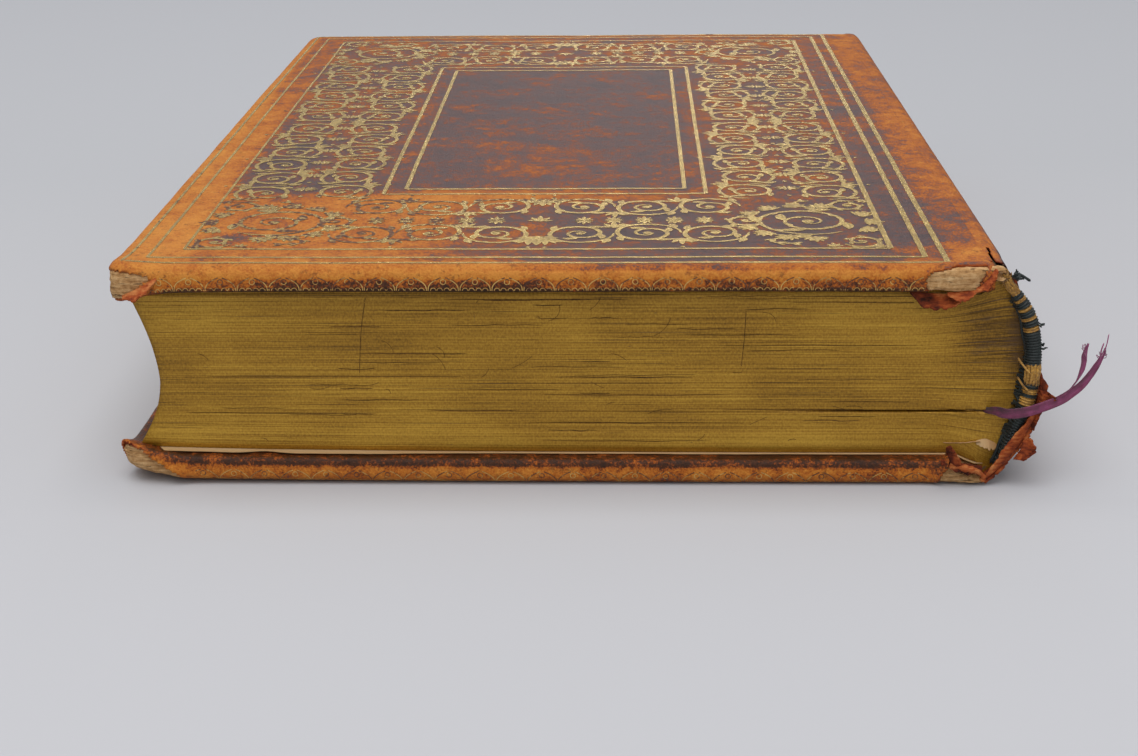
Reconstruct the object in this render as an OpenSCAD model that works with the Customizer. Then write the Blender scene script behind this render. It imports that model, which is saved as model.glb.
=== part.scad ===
// Antique leather-bound book lying closed on its back cover, with gilt page edges, silk headbands,
// a torn spine head and the stub of a ribbon marker.
// The origin is the centre of the back cover's outer face. +X points to the spine, -Y to the head
// of the book and +Z up through the pages. Sizes are in millimetres.

/* [Covers] */
// Width of a cover from its fore-edge to the hinge line
cover_w = 150; // [120:1:190]
// Height of a cover from head to tail
cover_h = 230; // [180:1:290]
// Thickness of the pulp board inside a cover
board_t = 3.6; // [2.6:0.1:5]
// Thickness of the leather over a board
leather_t = 0.6; // [0.4:0.1:1]
// Thickness of the pared leather turned in on the inside of a board
turn_in_t = 0.4; // [0.2:0.1:0.6]
// Width of the leather turned in on the inside of a board
turn_in_w = 9; // [6:0.5:14]
// Rounding of a cover's outer edges
cover_edge_r = 1.3; // [0.4:0.1:2]

/* [Pages] */
// Thickness of the pressed pages
pages_t = 29.7; // [20:0.1:45]
// Overhang of the covers past the pages at head and tail
head_square = 3; // [2:0.1:5]
// Overhang of the covers past the pages at the fore-edge
fore_square = 2.5; // [1.5:0.1:5]
// Depth of the hollow in the fore-edge
fore_hollow = 4.6; // [1:0.1:7]
// Thickness of a flyleaf
flyleaf_t = 0.2; // [0.1:0.05:0.4]
// Gap between a closed cover and its flyleaf
cover_gap = 0.15; // [0.1:0.05:0.4]

/* [Spine] */
// How far the rounded spine stands out past the hinge line
spine_bulge = 9.2; // [6:0.1:12]
// Thickness of the spine leather
spine_leather_t = 0.9; // [0.5:0.1:1.4]
// Thickness of the paper lining glued to the spine
lining_t = 0.4; // [0.2:0.1:0.8]
// Gap between a cover's back edge and the spine
joint_gap = 0.3; // [0.2:0.05:0.6]
// Drop from a cover's outer face to the shoulder of the spine leather
shoulder_drop = 0.4; // [0.3:0.1:1]
// Number of sewing cords sunk into the spine
cord_count = 5; // [3:1:7]
// Radius of a sewing cord
cord_r = 0.9; // [0.5:0.1:1.3]
// Clearance of a cord in its sawn groove
cord_clear = 0.05; // [0.02:0.01:0.1]

/* [Headbands] */
// Radius of the headband's cord core
band_core_r = 1; // [0.6:0.1:1.2]
// Thickness of the silk wound on the core
silk_t = 0.45; // [0.2:0.05:0.6]
// Clearance between a headband and its neighbours
band_clear = 0.05; // [0.02:0.01:0.1]
// Number of silk windings along one headband, in two colours by turns
silk_turns = 15; // [7:2:25]
// Windings lost from the top of the headband at the head
silk_lost = 2; // [0:1:4]

/* [Ribbon] */
// Width of the ribbon where it lies flat between the pages
ribbon_w = 5; // [3:0.5:8]
// Thickness of the ribbon
ribbon_t = 0.3; // [0.2:0.05:0.5]
// Clearance of the ribbon between the pages
ribbon_clear = 0.05; // [0.02:0.01:0.1]
// Height of the ribbon above the lowest page
ribbon_up = 9.2; // [6:0.1:13]
// Length of the ribbon hidden between the pages
ribbon_hidden = 150; // [60:1:160]
// Width of the folded stub outside the pages
stub_w = 1.9; // [1:0.1:3]
// Thickness of the folded stub
stub_t = 0.6; // [0.4:0.1:1]
// How far the stub reaches out past the spine
stub_reach = 9.6; // [5:0.1:15]
// How far the stub's tip rises above the ribbon
stub_rise = 12.2; // [4:0.1:16]

/* [Tooling] */
// Width of a tooled line
fillet_w = 0.9; // [0.5:0.1:1.5]
// Depth of a tooled line
fillet_depth = 0.12; // [0.05:0.01:0.2]
// Distance of the outer frame line from the cover's edge
outer_line = 2.7; // [2:0.1:4]
// Distance of the middle frame line from the cover's edge
middle_line = 6; // [5:0.1:8]
// Distance of the inner frame line from the cover's edge
inner_line = 11.2; // [9.5:0.1:16]
// Extra distance of the frame lines from the hinge edge
hinge_margin = 5; // [0:0.5:10]
// Width of the plain centre panel
panel_w = 54; // [30:1:70]
// Height of the plain centre panel
panel_h = 122; // [60:1:140]
// Distance between the panel's two lines
panel_gap = 4; // [2:0.1:8]
// Number of compartments tooled on the spine
spine_panels = 6; // [3:1:8]

/* [Damage] */
// Deepest reach of the tear at the head of the spine
tear_depth = 9; // [4:0.5:16]
// Height at which the tear in the spine starts
tear_low = 13; // [8:0.5:20]
// Number of points along the torn edge
tear_points = 12; // [6:1:20]
// Length of the torn spine flap
spine_flap_l = 6.5; // [3:0.5:9]
// Width of the torn spine flap
spine_flap_w = 4; // [2:0.5:8]
// Wear of the front cover's top corner along the head
front_corner_x = 10; // [4:0.5:18]
// Wear of the front cover's top corner along the fore-edge
front_corner_y = 6; // [3:0.5:18]
// Wear of the back cover's corner along the head
back_corner_x = 24; // [6:0.5:30]
// Wear of the back cover's corner along the fore-edge
back_corner_y = 5; // [3:0.5:18]
// Length of the bare board beside the hinge at the front cover's head
front_bare_l = 12.5; // [6:0.5:20]
// Length of the bare board beside the hinge at the back cover's head
back_bare_l = 7.5; // [4:0.5:14]
// Width of the leather flap at each bare board
cover_flap_w = 6.5; // [3:0.5:10]
// Reach of the leather flap at each bare board past the cover's inside
cover_flap_l = 2.4; // [1:0.1:4]

/* [Hidden] */
$fn = 96;
// Overlap that joins pieces of one solid, and overshoot of a cut
weld = 1;

cover_t = leather_t + board_t + turn_in_t;
cover_round = min(cover_edge_r, 3.4 * min(leather_t, turn_in_t));
head_y = -cover_h / 2;
fore_cover_x = -cover_w / 2;
hinge_x = cover_w / 2;

pages_z = cover_t + cover_gap + flyleaf_t;
book_t = 2 * pages_z + pages_t;
mid_z = book_t / 2;
pages_h = cover_h - 2 * head_square;
fore_x = fore_cover_x + fore_square;
fore_r = arc_radius(pages_t / 2, fore_hollow);

spine_x = hinge_x + joint_gap;
spine_r = arc_radius(mid_z - shoulder_drop, spine_bulge);
spine_cx = spine_x + spine_bulge - spine_r;
lining_r = spine_r - spine_leather_t;
block_r = lining_r - lining_t;
spine_end = spine_x + spine_bulge;
cord_pitch = pages_h / (cord_count + 1);
cord_arc = acos((spine_x + 2 * weld - spine_cx) / (block_r - 2 * cord_r));
groove_run_out = 1;

silk_r = band_core_r + silk_t;
band_r = lining_r - band_clear - silk_r;
band_arc = acos((spine_x + joint_gap / 2 - spine_cx) / (band_r - silk_r));
band_y = pages_h / 2 + band_clear + silk_r;
silk_step = 2 * band_arc / silk_turns;

ribbon_z = pages_z + ribbon_up;
stub_y = -(band_y + silk_r + band_clear + stub_t / 2) - stub_t;
stub_start = [spine_x - ribbon_w / 2, ribbon_z];
stub_bend = [spine_end + stub_reach / 2, ribbon_z];
stub_tip = [spine_end + stub_reach, ribbon_z + stub_rise];
stub_second = [spine_end + stub_reach * 2 / 3, ribbon_z + stub_rise];

panel_x = -hinge_margin / 2;
flap_angle = -asin((mid_z - tear_low + spine_flap_w / 2) / spine_r);

// Radius of the arc that rises by sagitta over a chord of twice half_chord
function arc_radius(half_chord, sagitta) = (half_chord * half_chord + sagitta * sagitta) / (2 * sagitta);

// Point and direction at share t of a curve that leaves a towards b and ends at c
function curve(a, b, c, t) = a * (1 - t) * (1 - t) + b * 2 * t * (1 - t) + c * t * t;
function heading(a, b, c, t) = (b - a) * (1 - t) + (c - b) * t;
function across(v) = [-v[1], v[0]] / norm(v);

// Reach of the torn edge at share s of its height: deep in the middle, with teeth by turns
function tear_reach(s, i) = tear_depth * (0.25 + 0.55 * sin(160 * s + 10) + 0.2 * (i % 2));

// Section in the XZ plane carried along the book's height
module along_height(length) {
    rotate([90, 0, 0])
        linear_extrude(length, center = true)
            children();
}

// Section in the YZ plane carried along the book's width
module along_width(length) {
    rotate([90, 0, 90])
        linear_extrude(length, center = true)
            children();
}

// Profile of radius and height carried round the spine's axis, at height y along the book
module round_spine(y, from, to) {
    translate([spine_cx, y, mid_z])
        rotate([90, 0, 0])
            rotate([0, 0, from])
                rotate_extrude(angle = to - from)
                    children();
}

// Part of a disc about the spine's axis that stands past the hinge line
module spine_segment(r) {
    intersection() {
        translate([spine_cx, mid_z])
            circle(r);
        translate([spine_x, 0])
            square([spine_bulge + weld, book_t]);
    }
}

// The layer of the spine between two radii
module spine_layer(inner, outer, length) {
    along_height(length)
        difference() {
            spine_segment(outer);
            translate([spine_cx, mid_z])
                circle(inner);
        }
}

// Bar with rounded ends, from x0 to x1 and as thick as a cover
module rounded_bar(x0, x1) {
    translate([x0, cover_round])
        square([x1 - x0, cover_t - 2 * cover_round]);
    translate([x0 + cover_round, 0])
        square([x1 - x0 - 2 * cover_round, cover_t]);
    for (x = [x0 + cover_round, x1 - cover_round])
        for (z = [cover_round, cover_t - cover_round])
            translate([x, z])
                circle(cover_round);
}

// Whole cover with rounded edges, square at the hinge, outer face down at z = 0
module cover_blank() {
    intersection() {
        along_height(cover_h)
            rounded_bar(fore_cover_x, hinge_x + 2 * cover_round);
        along_width(cover_w)
            rounded_bar(-cover_h / 2, cover_h / 2);
    }
}

// Pulp board, in a cover's own place
module board() {
    translate([fore_cover_x + leather_t, -cover_h / 2 + leather_t, leather_t])
        cube([cover_w - leather_t, cover_h - 2 * leather_t, board_t]);
}

// Endpaper pasted between the turned-in edges, in a cover's own place
module pastedown() {
    translate([fore_cover_x + turn_in_w, -cover_h / 2 + turn_in_w, leather_t + board_t])
        cube([cover_w - turn_in_w, cover_h - 2 * turn_in_w, turn_in_t]);
}

// Rectangular tooled line from x0 to x1 and y0 to y1 along its middle
module tooled_frame(x0, x1, y0, y1) {
    half = fillet_w / 2;
    translate([0, 0, -weld])
        linear_extrude(weld + fillet_depth)
            difference() {
                translate([x0 - half, y0 - half])
                    square([x1 - x0 + fillet_w, y1 - y0 + fillet_w]);
                translate([x0 + half, y0 + half])
                    square([x1 - x0 - fillet_w, y1 - y0 - fillet_w]);
            }
}

// Frame lines round a cover and the lines of its centre panel
module cover_tooling() {
    for (inset = [outer_line, middle_line, inner_line])
        tooled_frame(
            fore_cover_x + inset, hinge_x - hinge_margin - inset,
            -cover_h / 2 + inset, cover_h / 2 - inset
        );
    for (gap = [0, panel_gap])
        tooled_frame(
            panel_x - panel_w / 2 - gap, panel_x + panel_w / 2 + gap,
            -panel_h / 2 - gap, panel_h / 2 + gap
        );
}

// Leather worn through at the corner of head and fore-edge
module worn_corner(along_head, along_fore) {
    translate([fore_cover_x, head_y, -weld])
        linear_extrude(cover_t + 2 * weld)
            polygon([
                [-weld, -weld],
                [along_head, -weld],
                [along_head, leather_t],
                [leather_t, along_fore],
                [-weld, along_fore]
            ]);
}

// Leather stripped off the board's edge beside the hinge, down to a strip along the inside
module bare_edge(length) {
    translate([hinge_x - length, head_y - weld, -weld])
        cube([length + weld, leather_t + 2 * weld, weld + cover_t - turn_in_t - leather_t]);
}

// Leather curled off the stripped edge and past the cover's inside
module edge_flap(length) {
    translate([hinge_x - length - cover_flap_w / 6, head_y, cover_t - turn_in_t - leather_t])
        cube([cover_flap_w, leather_t, turn_in_t + leather_t + cover_flap_l]);
}

// Leather over the outside and edges of a board, turned in on its inside
module cover_leather(corner_x, corner_y, bare_l) {
    difference() {
        cover_blank();
        board();
        pastedown();
        cover_tooling();
        worn_corner(corner_x, corner_y);
        bare_edge(bare_l);
    }
    edge_flap(bare_l);
}

// Puts a cover's pieces on top of the book, outer face up
module on_top() {
    translate([0, 0, book_t])
        mirror([0, 0, 1])
            children();
}

// Outline of the pages seen from the head
module pages_outline() {
    difference() {
        translate([fore_x - weld, pages_z])
            square([spine_x - fore_x + 2 * weld, pages_t]);
        translate([fore_x + fore_hollow - fore_r, mid_z])
            circle(fore_r);
    }
    spine_segment(block_r);
}

// A profile carried round the spine at the place of every sewing cord
module at_cords(arc) {
    for (i = [1 : cord_count])
        round_spine(-pages_h / 2 + i * cord_pitch, -arc, arc)
            children();
}

// Grooves sawn across the spine of the pages, square in section
module sawn_grooves() {
    at_cords(cord_arc + groove_run_out)
        translate([block_r - 2 * cord_r - cord_clear, -cord_r - cord_clear])
            square([2 * cord_r + cord_clear + weld, 2 * (cord_r + cord_clear)]);
}

// Ribbon lying flat between the pages, grown by a clearance
module flat_ribbon(extra, outside) {
    translate([spine_x - ribbon_w, -pages_h / 2 - outside, ribbon_z - ribbon_t / 2 - extra])
        cube([ribbon_w + extra, ribbon_hidden + outside, ribbon_t + 2 * extra]);
}

// One tail of the ribbon's stub, along a curve and narrowing to its tip
module stub_tail(tip, tip_w) {
    steps = 8;
    left = [
        for (i = [0 : steps])
            let (t = i / steps)
                curve(stub_start, stub_bend, tip, t)
                + across(heading(stub_start, stub_bend, tip, t)) * (stub_w + (tip_w - stub_w) * t) / 2
    ];
    right = [
        for (i = [steps : -1 : 0])
            let (t = i / steps)
                curve(stub_start, stub_bend, tip, t)
                - across(heading(stub_start, stub_bend, tip, t)) * (stub_w + (tip_w - stub_w) * t) / 2
    ];
    polygon(concat(left, right));
}

module band_core(y) {
    round_spine(y, -band_arc, band_arc)
        translate([band_r, 0])
            circle(band_core_r);
}

// Windings of one colour: every second one from first on, up to the last that is left
module band_silk(y, first, last) {
    for (i = [first : 2 : last])
        round_spine(y, -band_arc + i * silk_step, -band_arc + (i + 1) * silk_step)
            translate([band_r, 0])
                difference() {
                    circle(silk_r);
                    circle(band_core_r);
                }
}

// Ragged gap that the lost headcap left in the spine leather
module head_tear() {
    edge = [
        for (i = [0 : tear_points])
            let (s = i / tear_points)
                [head_y + tear_reach(s, i), tear_low + (book_t - tear_low) * s]
    ];
    translate([spine_x + spine_bulge / 2, 0, 0])
        along_width(2 * spine_bulge)
            polygon(concat([[head_y - weld, book_t], [head_y - weld, tear_low]], edge));
}

// Torn tongue of spine leather that stands off below the tear
module spine_flap() {
    translate([spine_cx, head_y + spine_flap_w / 2, mid_z])
        rotate([0, -flap_angle, 0])
            translate([spine_r - spine_leather_t, 0, 0])
                rotate([0, 20, 0])
                    translate([0, -spine_flap_w / 2, 0])
                        cube([spine_leather_t, spine_flap_w, spine_flap_l]);
}

// Tooled lines across the spine, one at each end of every compartment
module spine_tooling() {
    pitch = pages_h / spine_panels;
    for (i = [0 : spine_panels])
        round_spine(-pages_h / 2 + i * pitch, -90, 90)
            translate([spine_r - fillet_depth, -fillet_w / 2])
                square([weld, fillet_w]);
}

module text_block() {
    color("darkgoldenrod")
        difference() {
            along_height(pages_h)
                pages_outline();
            sawn_grooves();
            flat_ribbon(ribbon_clear, weld);
        }
}

module front_flyleaf() {
    color("oldlace")
        translate([fore_x, -pages_h / 2, pages_z + pages_t])
            cube([spine_x - fore_x, pages_h, flyleaf_t]);
}

module back_flyleaf() {
    color("oldlace")
        translate([fore_x, -pages_h / 2, pages_z - flyleaf_t])
            cube([spine_x - fore_x, pages_h, flyleaf_t]);
}

module sewing_cords() {
    color("tan")
        at_cords(cord_arc)
            translate([block_r - cord_r, 0])
                circle(cord_r);
}

module spine_lining() {
    color("burlywood")
        spine_layer(block_r, lining_r, pages_h);
}

module spine_leather() {
    color("sienna") {
        difference() {
            spine_layer(lining_r, spine_r, cover_h);
            head_tear();
            spine_tooling();
        }
        spine_flap();
    }
}

module headband_core() {
    color("rosybrown")
        band_core(-band_y);
}

module headband_green_silk() {
    color("darkslategray")
        band_silk(-band_y, 0, silk_turns - 1 - silk_lost);
}

module headband_yellow_silk() {
    color("khaki")
        band_silk(-band_y, 1, silk_turns - 1 - silk_lost);
}

module tailband_core() {
    color("rosybrown")
        band_core(band_y);
}

module tailband_green_silk() {
    color("darkslategray")
        band_silk(band_y, 0, silk_turns - 1);
}

module tailband_yellow_silk() {
    color("khaki")
        band_silk(band_y, 1, silk_turns - 1);
}

module ribbon_marker() {
    color("mediumvioletred") {
        flat_ribbon(0, -stub_y - pages_h / 2 + stub_t / 2);
        translate([0, stub_y, 0])
            along_height(stub_t) {
                stub_tail(stub_tip, stub_w / 2);
                stub_tail(stub_second, stub_w / 4);
            }
    }
}

module front_board() {
    color("tan")
        on_top()
            board();
}

module front_leather() {
    color("chocolate")
        on_top()
            cover_leather(front_corner_x, front_corner_y, front_bare_l);
}

module front_pastedown() {
    color("oldlace")
        on_top()
            pastedown();
}

module back_board() {
    color("tan")
        board();
}

module back_leather() {
    color("chocolate")
        cover_leather(back_corner_x, back_corner_y, back_bare_l);
}

module back_pastedown() {
    color("oldlace")
        pastedown();
}

text_block();
front_flyleaf();
back_flyleaf();
sewing_cords();
spine_lining();
spine_leather();
headband_core();
headband_green_silk();
headband_yellow_silk();
tailband_core();
tailband_green_silk();
tailband_yellow_silk();
ribbon_marker();
front_board();
front_leather();
front_pastedown();
back_board();
back_leather();
back_pastedown();
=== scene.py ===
# %% [markdown]
# # A worn leather bible with gilt edges
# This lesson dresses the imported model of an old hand-bound book. The frame holds every solid at its real
# size, so nothing here is fitted by eye: we read the solids' boxes and build finer surfaces in their place.
# All shapes are worked out in millimetres and turned into metres when a mesh is made.

import bmesh
import bpy
import numpy as np
from mathutils import Matrix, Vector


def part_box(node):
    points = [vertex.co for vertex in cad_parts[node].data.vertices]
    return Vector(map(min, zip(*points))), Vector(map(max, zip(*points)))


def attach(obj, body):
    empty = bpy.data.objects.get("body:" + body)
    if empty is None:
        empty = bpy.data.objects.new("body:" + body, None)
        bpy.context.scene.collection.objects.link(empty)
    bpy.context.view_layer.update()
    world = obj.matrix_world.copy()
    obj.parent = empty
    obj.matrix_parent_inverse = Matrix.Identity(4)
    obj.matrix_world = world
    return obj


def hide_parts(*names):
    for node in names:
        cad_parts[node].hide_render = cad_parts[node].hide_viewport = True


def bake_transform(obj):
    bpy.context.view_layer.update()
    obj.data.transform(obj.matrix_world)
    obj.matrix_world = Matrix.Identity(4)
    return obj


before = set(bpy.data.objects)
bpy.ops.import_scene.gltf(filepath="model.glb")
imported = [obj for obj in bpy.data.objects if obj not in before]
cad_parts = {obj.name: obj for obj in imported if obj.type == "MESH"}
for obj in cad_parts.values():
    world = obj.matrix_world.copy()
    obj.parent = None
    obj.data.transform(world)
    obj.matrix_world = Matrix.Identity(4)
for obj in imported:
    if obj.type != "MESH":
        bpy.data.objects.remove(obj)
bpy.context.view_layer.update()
MM = 0.001

# %% [markdown]
# ## Sizes from the frame
# A bookbinder works from the boards outwards, and so do we. The board gives the cover's edges, the leather's
# top gives the height of the closed book, and the pages give the text block.

# %% Read the sizes
def box_mm(node):
    """Lowest and highest corner of a CAD node, in millimetres."""
    low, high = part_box(node)
    return np.array(low) / MM, np.array(high) / MM


board_low, board_high = box_mm("front_board")
pages_low, _ = box_mm("text_block")
leather_t = 0.6
turn_t = 0.4
book_t = board_high[2] + leather_t
mid_z = book_t / 2
edge_x = board_low[0] - leather_t
edge_y = board_low[1] - leather_t
hinge_x = board_high[0]
cover_t = book_t - (board_low[2] - turn_t)
head_y = pages_low[1]
print(f"cover {hinge_x - edge_x:.1f} x {-2 * edge_y:.1f} x {cover_t:.1f}, book {book_t:.1f} thick")


# %% [markdown]
# ## Small helpers for shapes
# Old leather is never regular, so most shapes below are a clean formula plus a little seeded noise. The
# noise is a lattice of random values joined by a smooth step, which gives the same result in every run.

# %% Noise and smooth steps
def smooth(t):
    """Smoothstep: 0 below 0, 1 above 1, level at both ends."""
    t = np.clip(t, 0.0, 1.0)
    return t * t * (3.0 - 2.0 * t)


def hump(x, centre, width):
    """A bell curve of height 1: e to the minus square of the distance over the width."""
    return np.exp(-(((x - centre) / width) ** 2))


def mottle(x, y, size, seed):
    """Random values from -1 to 1 on a square lattice of that size, joined smoothly."""
    table = np.random.default_rng(seed).uniform(-1.0, 1.0, (97, 89))
    u = np.asarray(x, float) / size + 970.0
    v = np.asarray(y, float) / size + 890.0
    i, j = np.floor(u).astype(int), np.floor(v).astype(int)
    f, g = smooth(u - i), smooth(v - j)
    near = table[i % 97, j % 89] * (1 - f) + table[(i + 1) % 97, j % 89] * f
    far = table[i % 97, (j + 1) % 89] * (1 - f) + table[(i + 1) % 97, (j + 1) % 89] * f
    return near * (1 - g) + far * g


def ragged(x, y, size, seed):
    """Three layers of mottle, each half the size and half the strength of the one before."""
    layers = [mottle(x, y, size / 2**k, seed + k) / 2**k for k in range(3)]
    return sum(layers) / 1.75


def flowing(points, count):
    """A smooth path of even steps through the points (Catmull-Rom between each pair)."""
    points = np.asarray(points, float)
    ends = np.vstack([2 * points[0] - points[1], points, 2 * points[-1] - points[-2]])
    t = np.linspace(0, len(points) - 1, count * 8)
    i = np.minimum(t.astype(int), len(points) - 2)
    f = (t - i)[:, None]
    a, b, c, d = ends[i], ends[i + 1], ends[i + 2], ends[i + 3]
    dense = b + 0.5 * f * (c - a + f * (2 * a - 5 * b + 4 * c - d + f * (3 * b - a - 3 * c + d)))
    run = np.r_[0, np.cumsum(np.linalg.norm(np.diff(dense, axis=0), axis=1))]
    even = np.linspace(0, run[-1], count)
    return np.stack([np.interp(even, run, dense[:, k]) for k in range(points.shape[1])], 1)


print("a short smooth path:", flowing([(0, 0), (1, 1), (2, 0)], 3).round(2).tolist())


# %% [markdown]
# ## From arrays to pieces
# Every piece is one or more grids of points. A part keeps its points, its four-cornered faces, a wear value
# and a flat map (UV) for patterns that follow the surface. One function turns parts into a Blender object,
# turns its faces outwards, gives it thickness and lets it ride on a body of the frame.

# %% Grids, tubes and the piece maker
def grid_faces(rows, cols, wrap_rows=False, wrap_cols=False):
    """Corners of each quad in a grid of points, numbered row by row."""
    r = np.arange(rows if wrap_rows else rows - 1)
    c = np.arange(cols if wrap_cols else cols - 1)
    a, b = np.meshgrid(r, c, indexing="ij")
    a2, b2 = (a + 1) % rows, (b + 1) % cols
    return np.stack([a * cols + b, a2 * cols + b, a2 * cols + b2, a * cols + b2], -1).reshape(-1, 4)


def part(points, wear=0.5, uv=None, keep=None, wrap_rows=False, wrap_cols=False, facing=None):
    """One grid of points (rows, cols, 3). facing is a rough outward direction; without it the part is
    taken as closed, and its signed volume tells whether it is inside out."""
    rows, cols = points.shape[:2]
    faces = grid_faces(rows, cols, wrap_rows, wrap_cols)
    flat = points.reshape(-1, 3)
    a, b, c, d = (flat[faces[:, k]] for k in range(4))
    normals = np.cross(c - a, d - b)
    if facing is None:
        outward = np.einsum("ij,ij->", normals, (a + b + c + d) / 4 - flat.mean(0))
    else:
        outward = (normals @ np.asarray(facing, float)).sum()
    if outward < 0:
        faces = faces[:, ::-1]
    if keep is not None:
        faces = faces[keep.reshape(-1)[faces].mean(1) > 0.5]
    worn = np.broadcast_to(wear, (rows, cols)).reshape(-1)
    chart = np.zeros((len(flat), 2)) if uv is None else np.asarray(uv, float).reshape(-1, 2)
    return {"points": flat, "faces": faces, "wear": worn, "uv": chart}


def tube(path, radius, sides=7, wear=0.5):
    """A round section carried along a path, drawn to a point at both ends."""
    path = np.asarray(path, float)
    along = np.gradient(path, axis=0)
    along /= np.linalg.norm(along, axis=1)[:, None] + 1e-12
    side = np.cross(along, (0.31, 0.87, 0.39))
    side /= np.linalg.norm(side, axis=1)[:, None] + 1e-12
    up = np.cross(side, along)
    turn = np.linspace(0, 2 * np.pi, sides, endpoint=False)[None, :, None]
    size = np.broadcast_to(radius, len(path)).astype(float).copy()
    size[[0, -1]] = 0.0
    section = np.cos(turn) * side[:, None] + np.sin(turn) * up[:, None]
    rings = path[:, None] + size[:, None, None] * section
    length = np.r_[0, np.cumsum(np.linalg.norm(np.diff(path, axis=0), axis=1))]
    uv = np.stack(np.broadcast_arrays(length[:, None], turn[..., 0]), -1)
    return part(rings, wear, uv, wrap_cols=True)


def piece(name, parts, finishes, body=None, thickness=0.0, stands_for=(), merge=False):
    """Joins parts into one mesh object at the origin, with wear and UV, and seats it in the frame."""
    shift = np.cumsum([0] + [len(p["points"]) for p in parts])
    faces = np.concatenate([p["faces"] + s for p, s in zip(parts, shift)])
    used, faces = np.unique(faces, return_inverse=True)
    faces = faces.reshape(-1, 4)
    points = np.concatenate([p["points"] for p in parts])[used] * MM
    wear = np.concatenate([p["wear"] for p in parts])[used]
    chart = np.concatenate([p["uv"] for p in parts])[used]
    mesh = bpy.data.meshes.new(name)
    mesh.vertices.add(len(points))
    mesh.vertices.foreach_set("co", points.astype(np.float32).ravel())
    mesh.loops.add(faces.size)
    mesh.loops.foreach_set("vertex_index", faces.astype(np.int32).ravel())
    mesh.polygons.add(len(faces))
    mesh.polygons.foreach_set("loop_start", np.arange(0, faces.size, 4, dtype=np.int32))
    mesh.polygons.foreach_set("use_smooth", np.ones(len(faces), bool))
    mesh.update(calc_edges=True)
    mesh.attributes.new("wear", "FLOAT", "POINT").data.foreach_set("value", wear.astype(np.float32))
    mesh.uv_layers.new(name="chart").data.foreach_set("uv", chart[faces.ravel()].astype(np.float32).ravel())
    if merge:
        shape = bmesh.new()
        shape.from_mesh(mesh)
        bmesh.ops.remove_doubles(shape, verts=shape.verts, dist=2e-7)
        bmesh.ops.dissolve_degenerate(shape, edges=shape.edges, dist=1e-7)
        shape.to_mesh(mesh)
        shape.free()
    mesh.validate()
    for finish in finishes:
        mesh.materials.append(finish)
    made = bpy.data.objects.new(name, mesh)
    bpy.context.scene.collection.objects.link(made)
    if thickness:
        wall = made.modifiers.new("wall", "SOLIDIFY")
        wall.thickness = thickness * MM
        wall.offset = -1.0
        wall.material_offset_rim = len(finishes) - 1
        wall.material_offset = len(finishes) - 1
    if body:
        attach(made, body)
    if stands_for:
        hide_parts(*stands_for)
    print(f"{name}: {len(mesh.vertices)} points, {len(mesh.polygons)} faces")
    return made


# %% [markdown]
# ## Camera
# The book is seen from in front of its head, looking a little down. The focal length, place and angles were
# solved from the book's own corners, so the print below should give the near lower corners of the cover.

# %% Place the camera
def axes_matrix(right, up, back, place):
    """The matrix of a camera or lamp: its three axes and its place in metres, one in each column."""
    turned = np.eye(4)
    turned[:3] = np.stack([right, up, back, np.asarray(place, float)], 1)
    return Matrix(turned.tolist())


image_w, image_h = 1138, 756
focal_px = 1951.3
camera_at = np.array([12.9, -429.6, 132.2])
pitch, yaw, roll = np.radians([19.64, -1.73, -0.57])
forward = np.array([np.sin(yaw) * np.cos(pitch), np.cos(yaw) * np.cos(pitch), -np.sin(pitch)])
level = np.array([np.cos(yaw), -np.sin(yaw), 0.0])
above = np.cross(level, forward)
camera_right = level * np.cos(roll) + above * np.sin(roll)
camera_up = above * np.cos(roll) - level * np.sin(roll)
camera = bpy.data.objects.new("camera", bpy.data.cameras.new("camera"))
camera.data.sensor_width = 36.0
camera.data.lens = focal_px / image_w * camera.data.sensor_width
camera.data.clip_start, camera.data.clip_end = 0.01, 50.0
camera.matrix_world = axes_matrix(camera_right, camera_up, -forward, camera_at * MM)
bpy.context.scene.collection.objects.link(camera)
bpy.context.scene.camera = camera
for corner in ((edge_x, edge_y, 0.0), (hinge_x, edge_y, 0.0)):
    ray = np.array(corner) - camera_at
    across, tall, deep = ray @ camera_right, ray @ camera_up, ray @ forward
    print("corner at pixel", round(image_w / 2 + focal_px * across / deep, 1),
          round(image_h / 2 - focal_px * tall / deep, 1))


# %% [markdown]
# ## Finishes: the node helpers
# Each finish is one Principled shader. Colour, roughness and bump come from noise in Object coordinates, so
# the pattern stays in the material when a cover opens. Sizes are given in millimetres.

# %% Node helpers
def tone(red, green, blue):
    """A colour picked in 0 to 255 screen values, turned into the linear values that a shader takes."""
    c = np.array([red, green, blue]) / 255.0
    linear = np.where(c <= 0.04045, c / 12.92, ((c + 0.055) / 1.055) ** 2.4)
    return (*linear.tolist(), 1.0)


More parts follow.
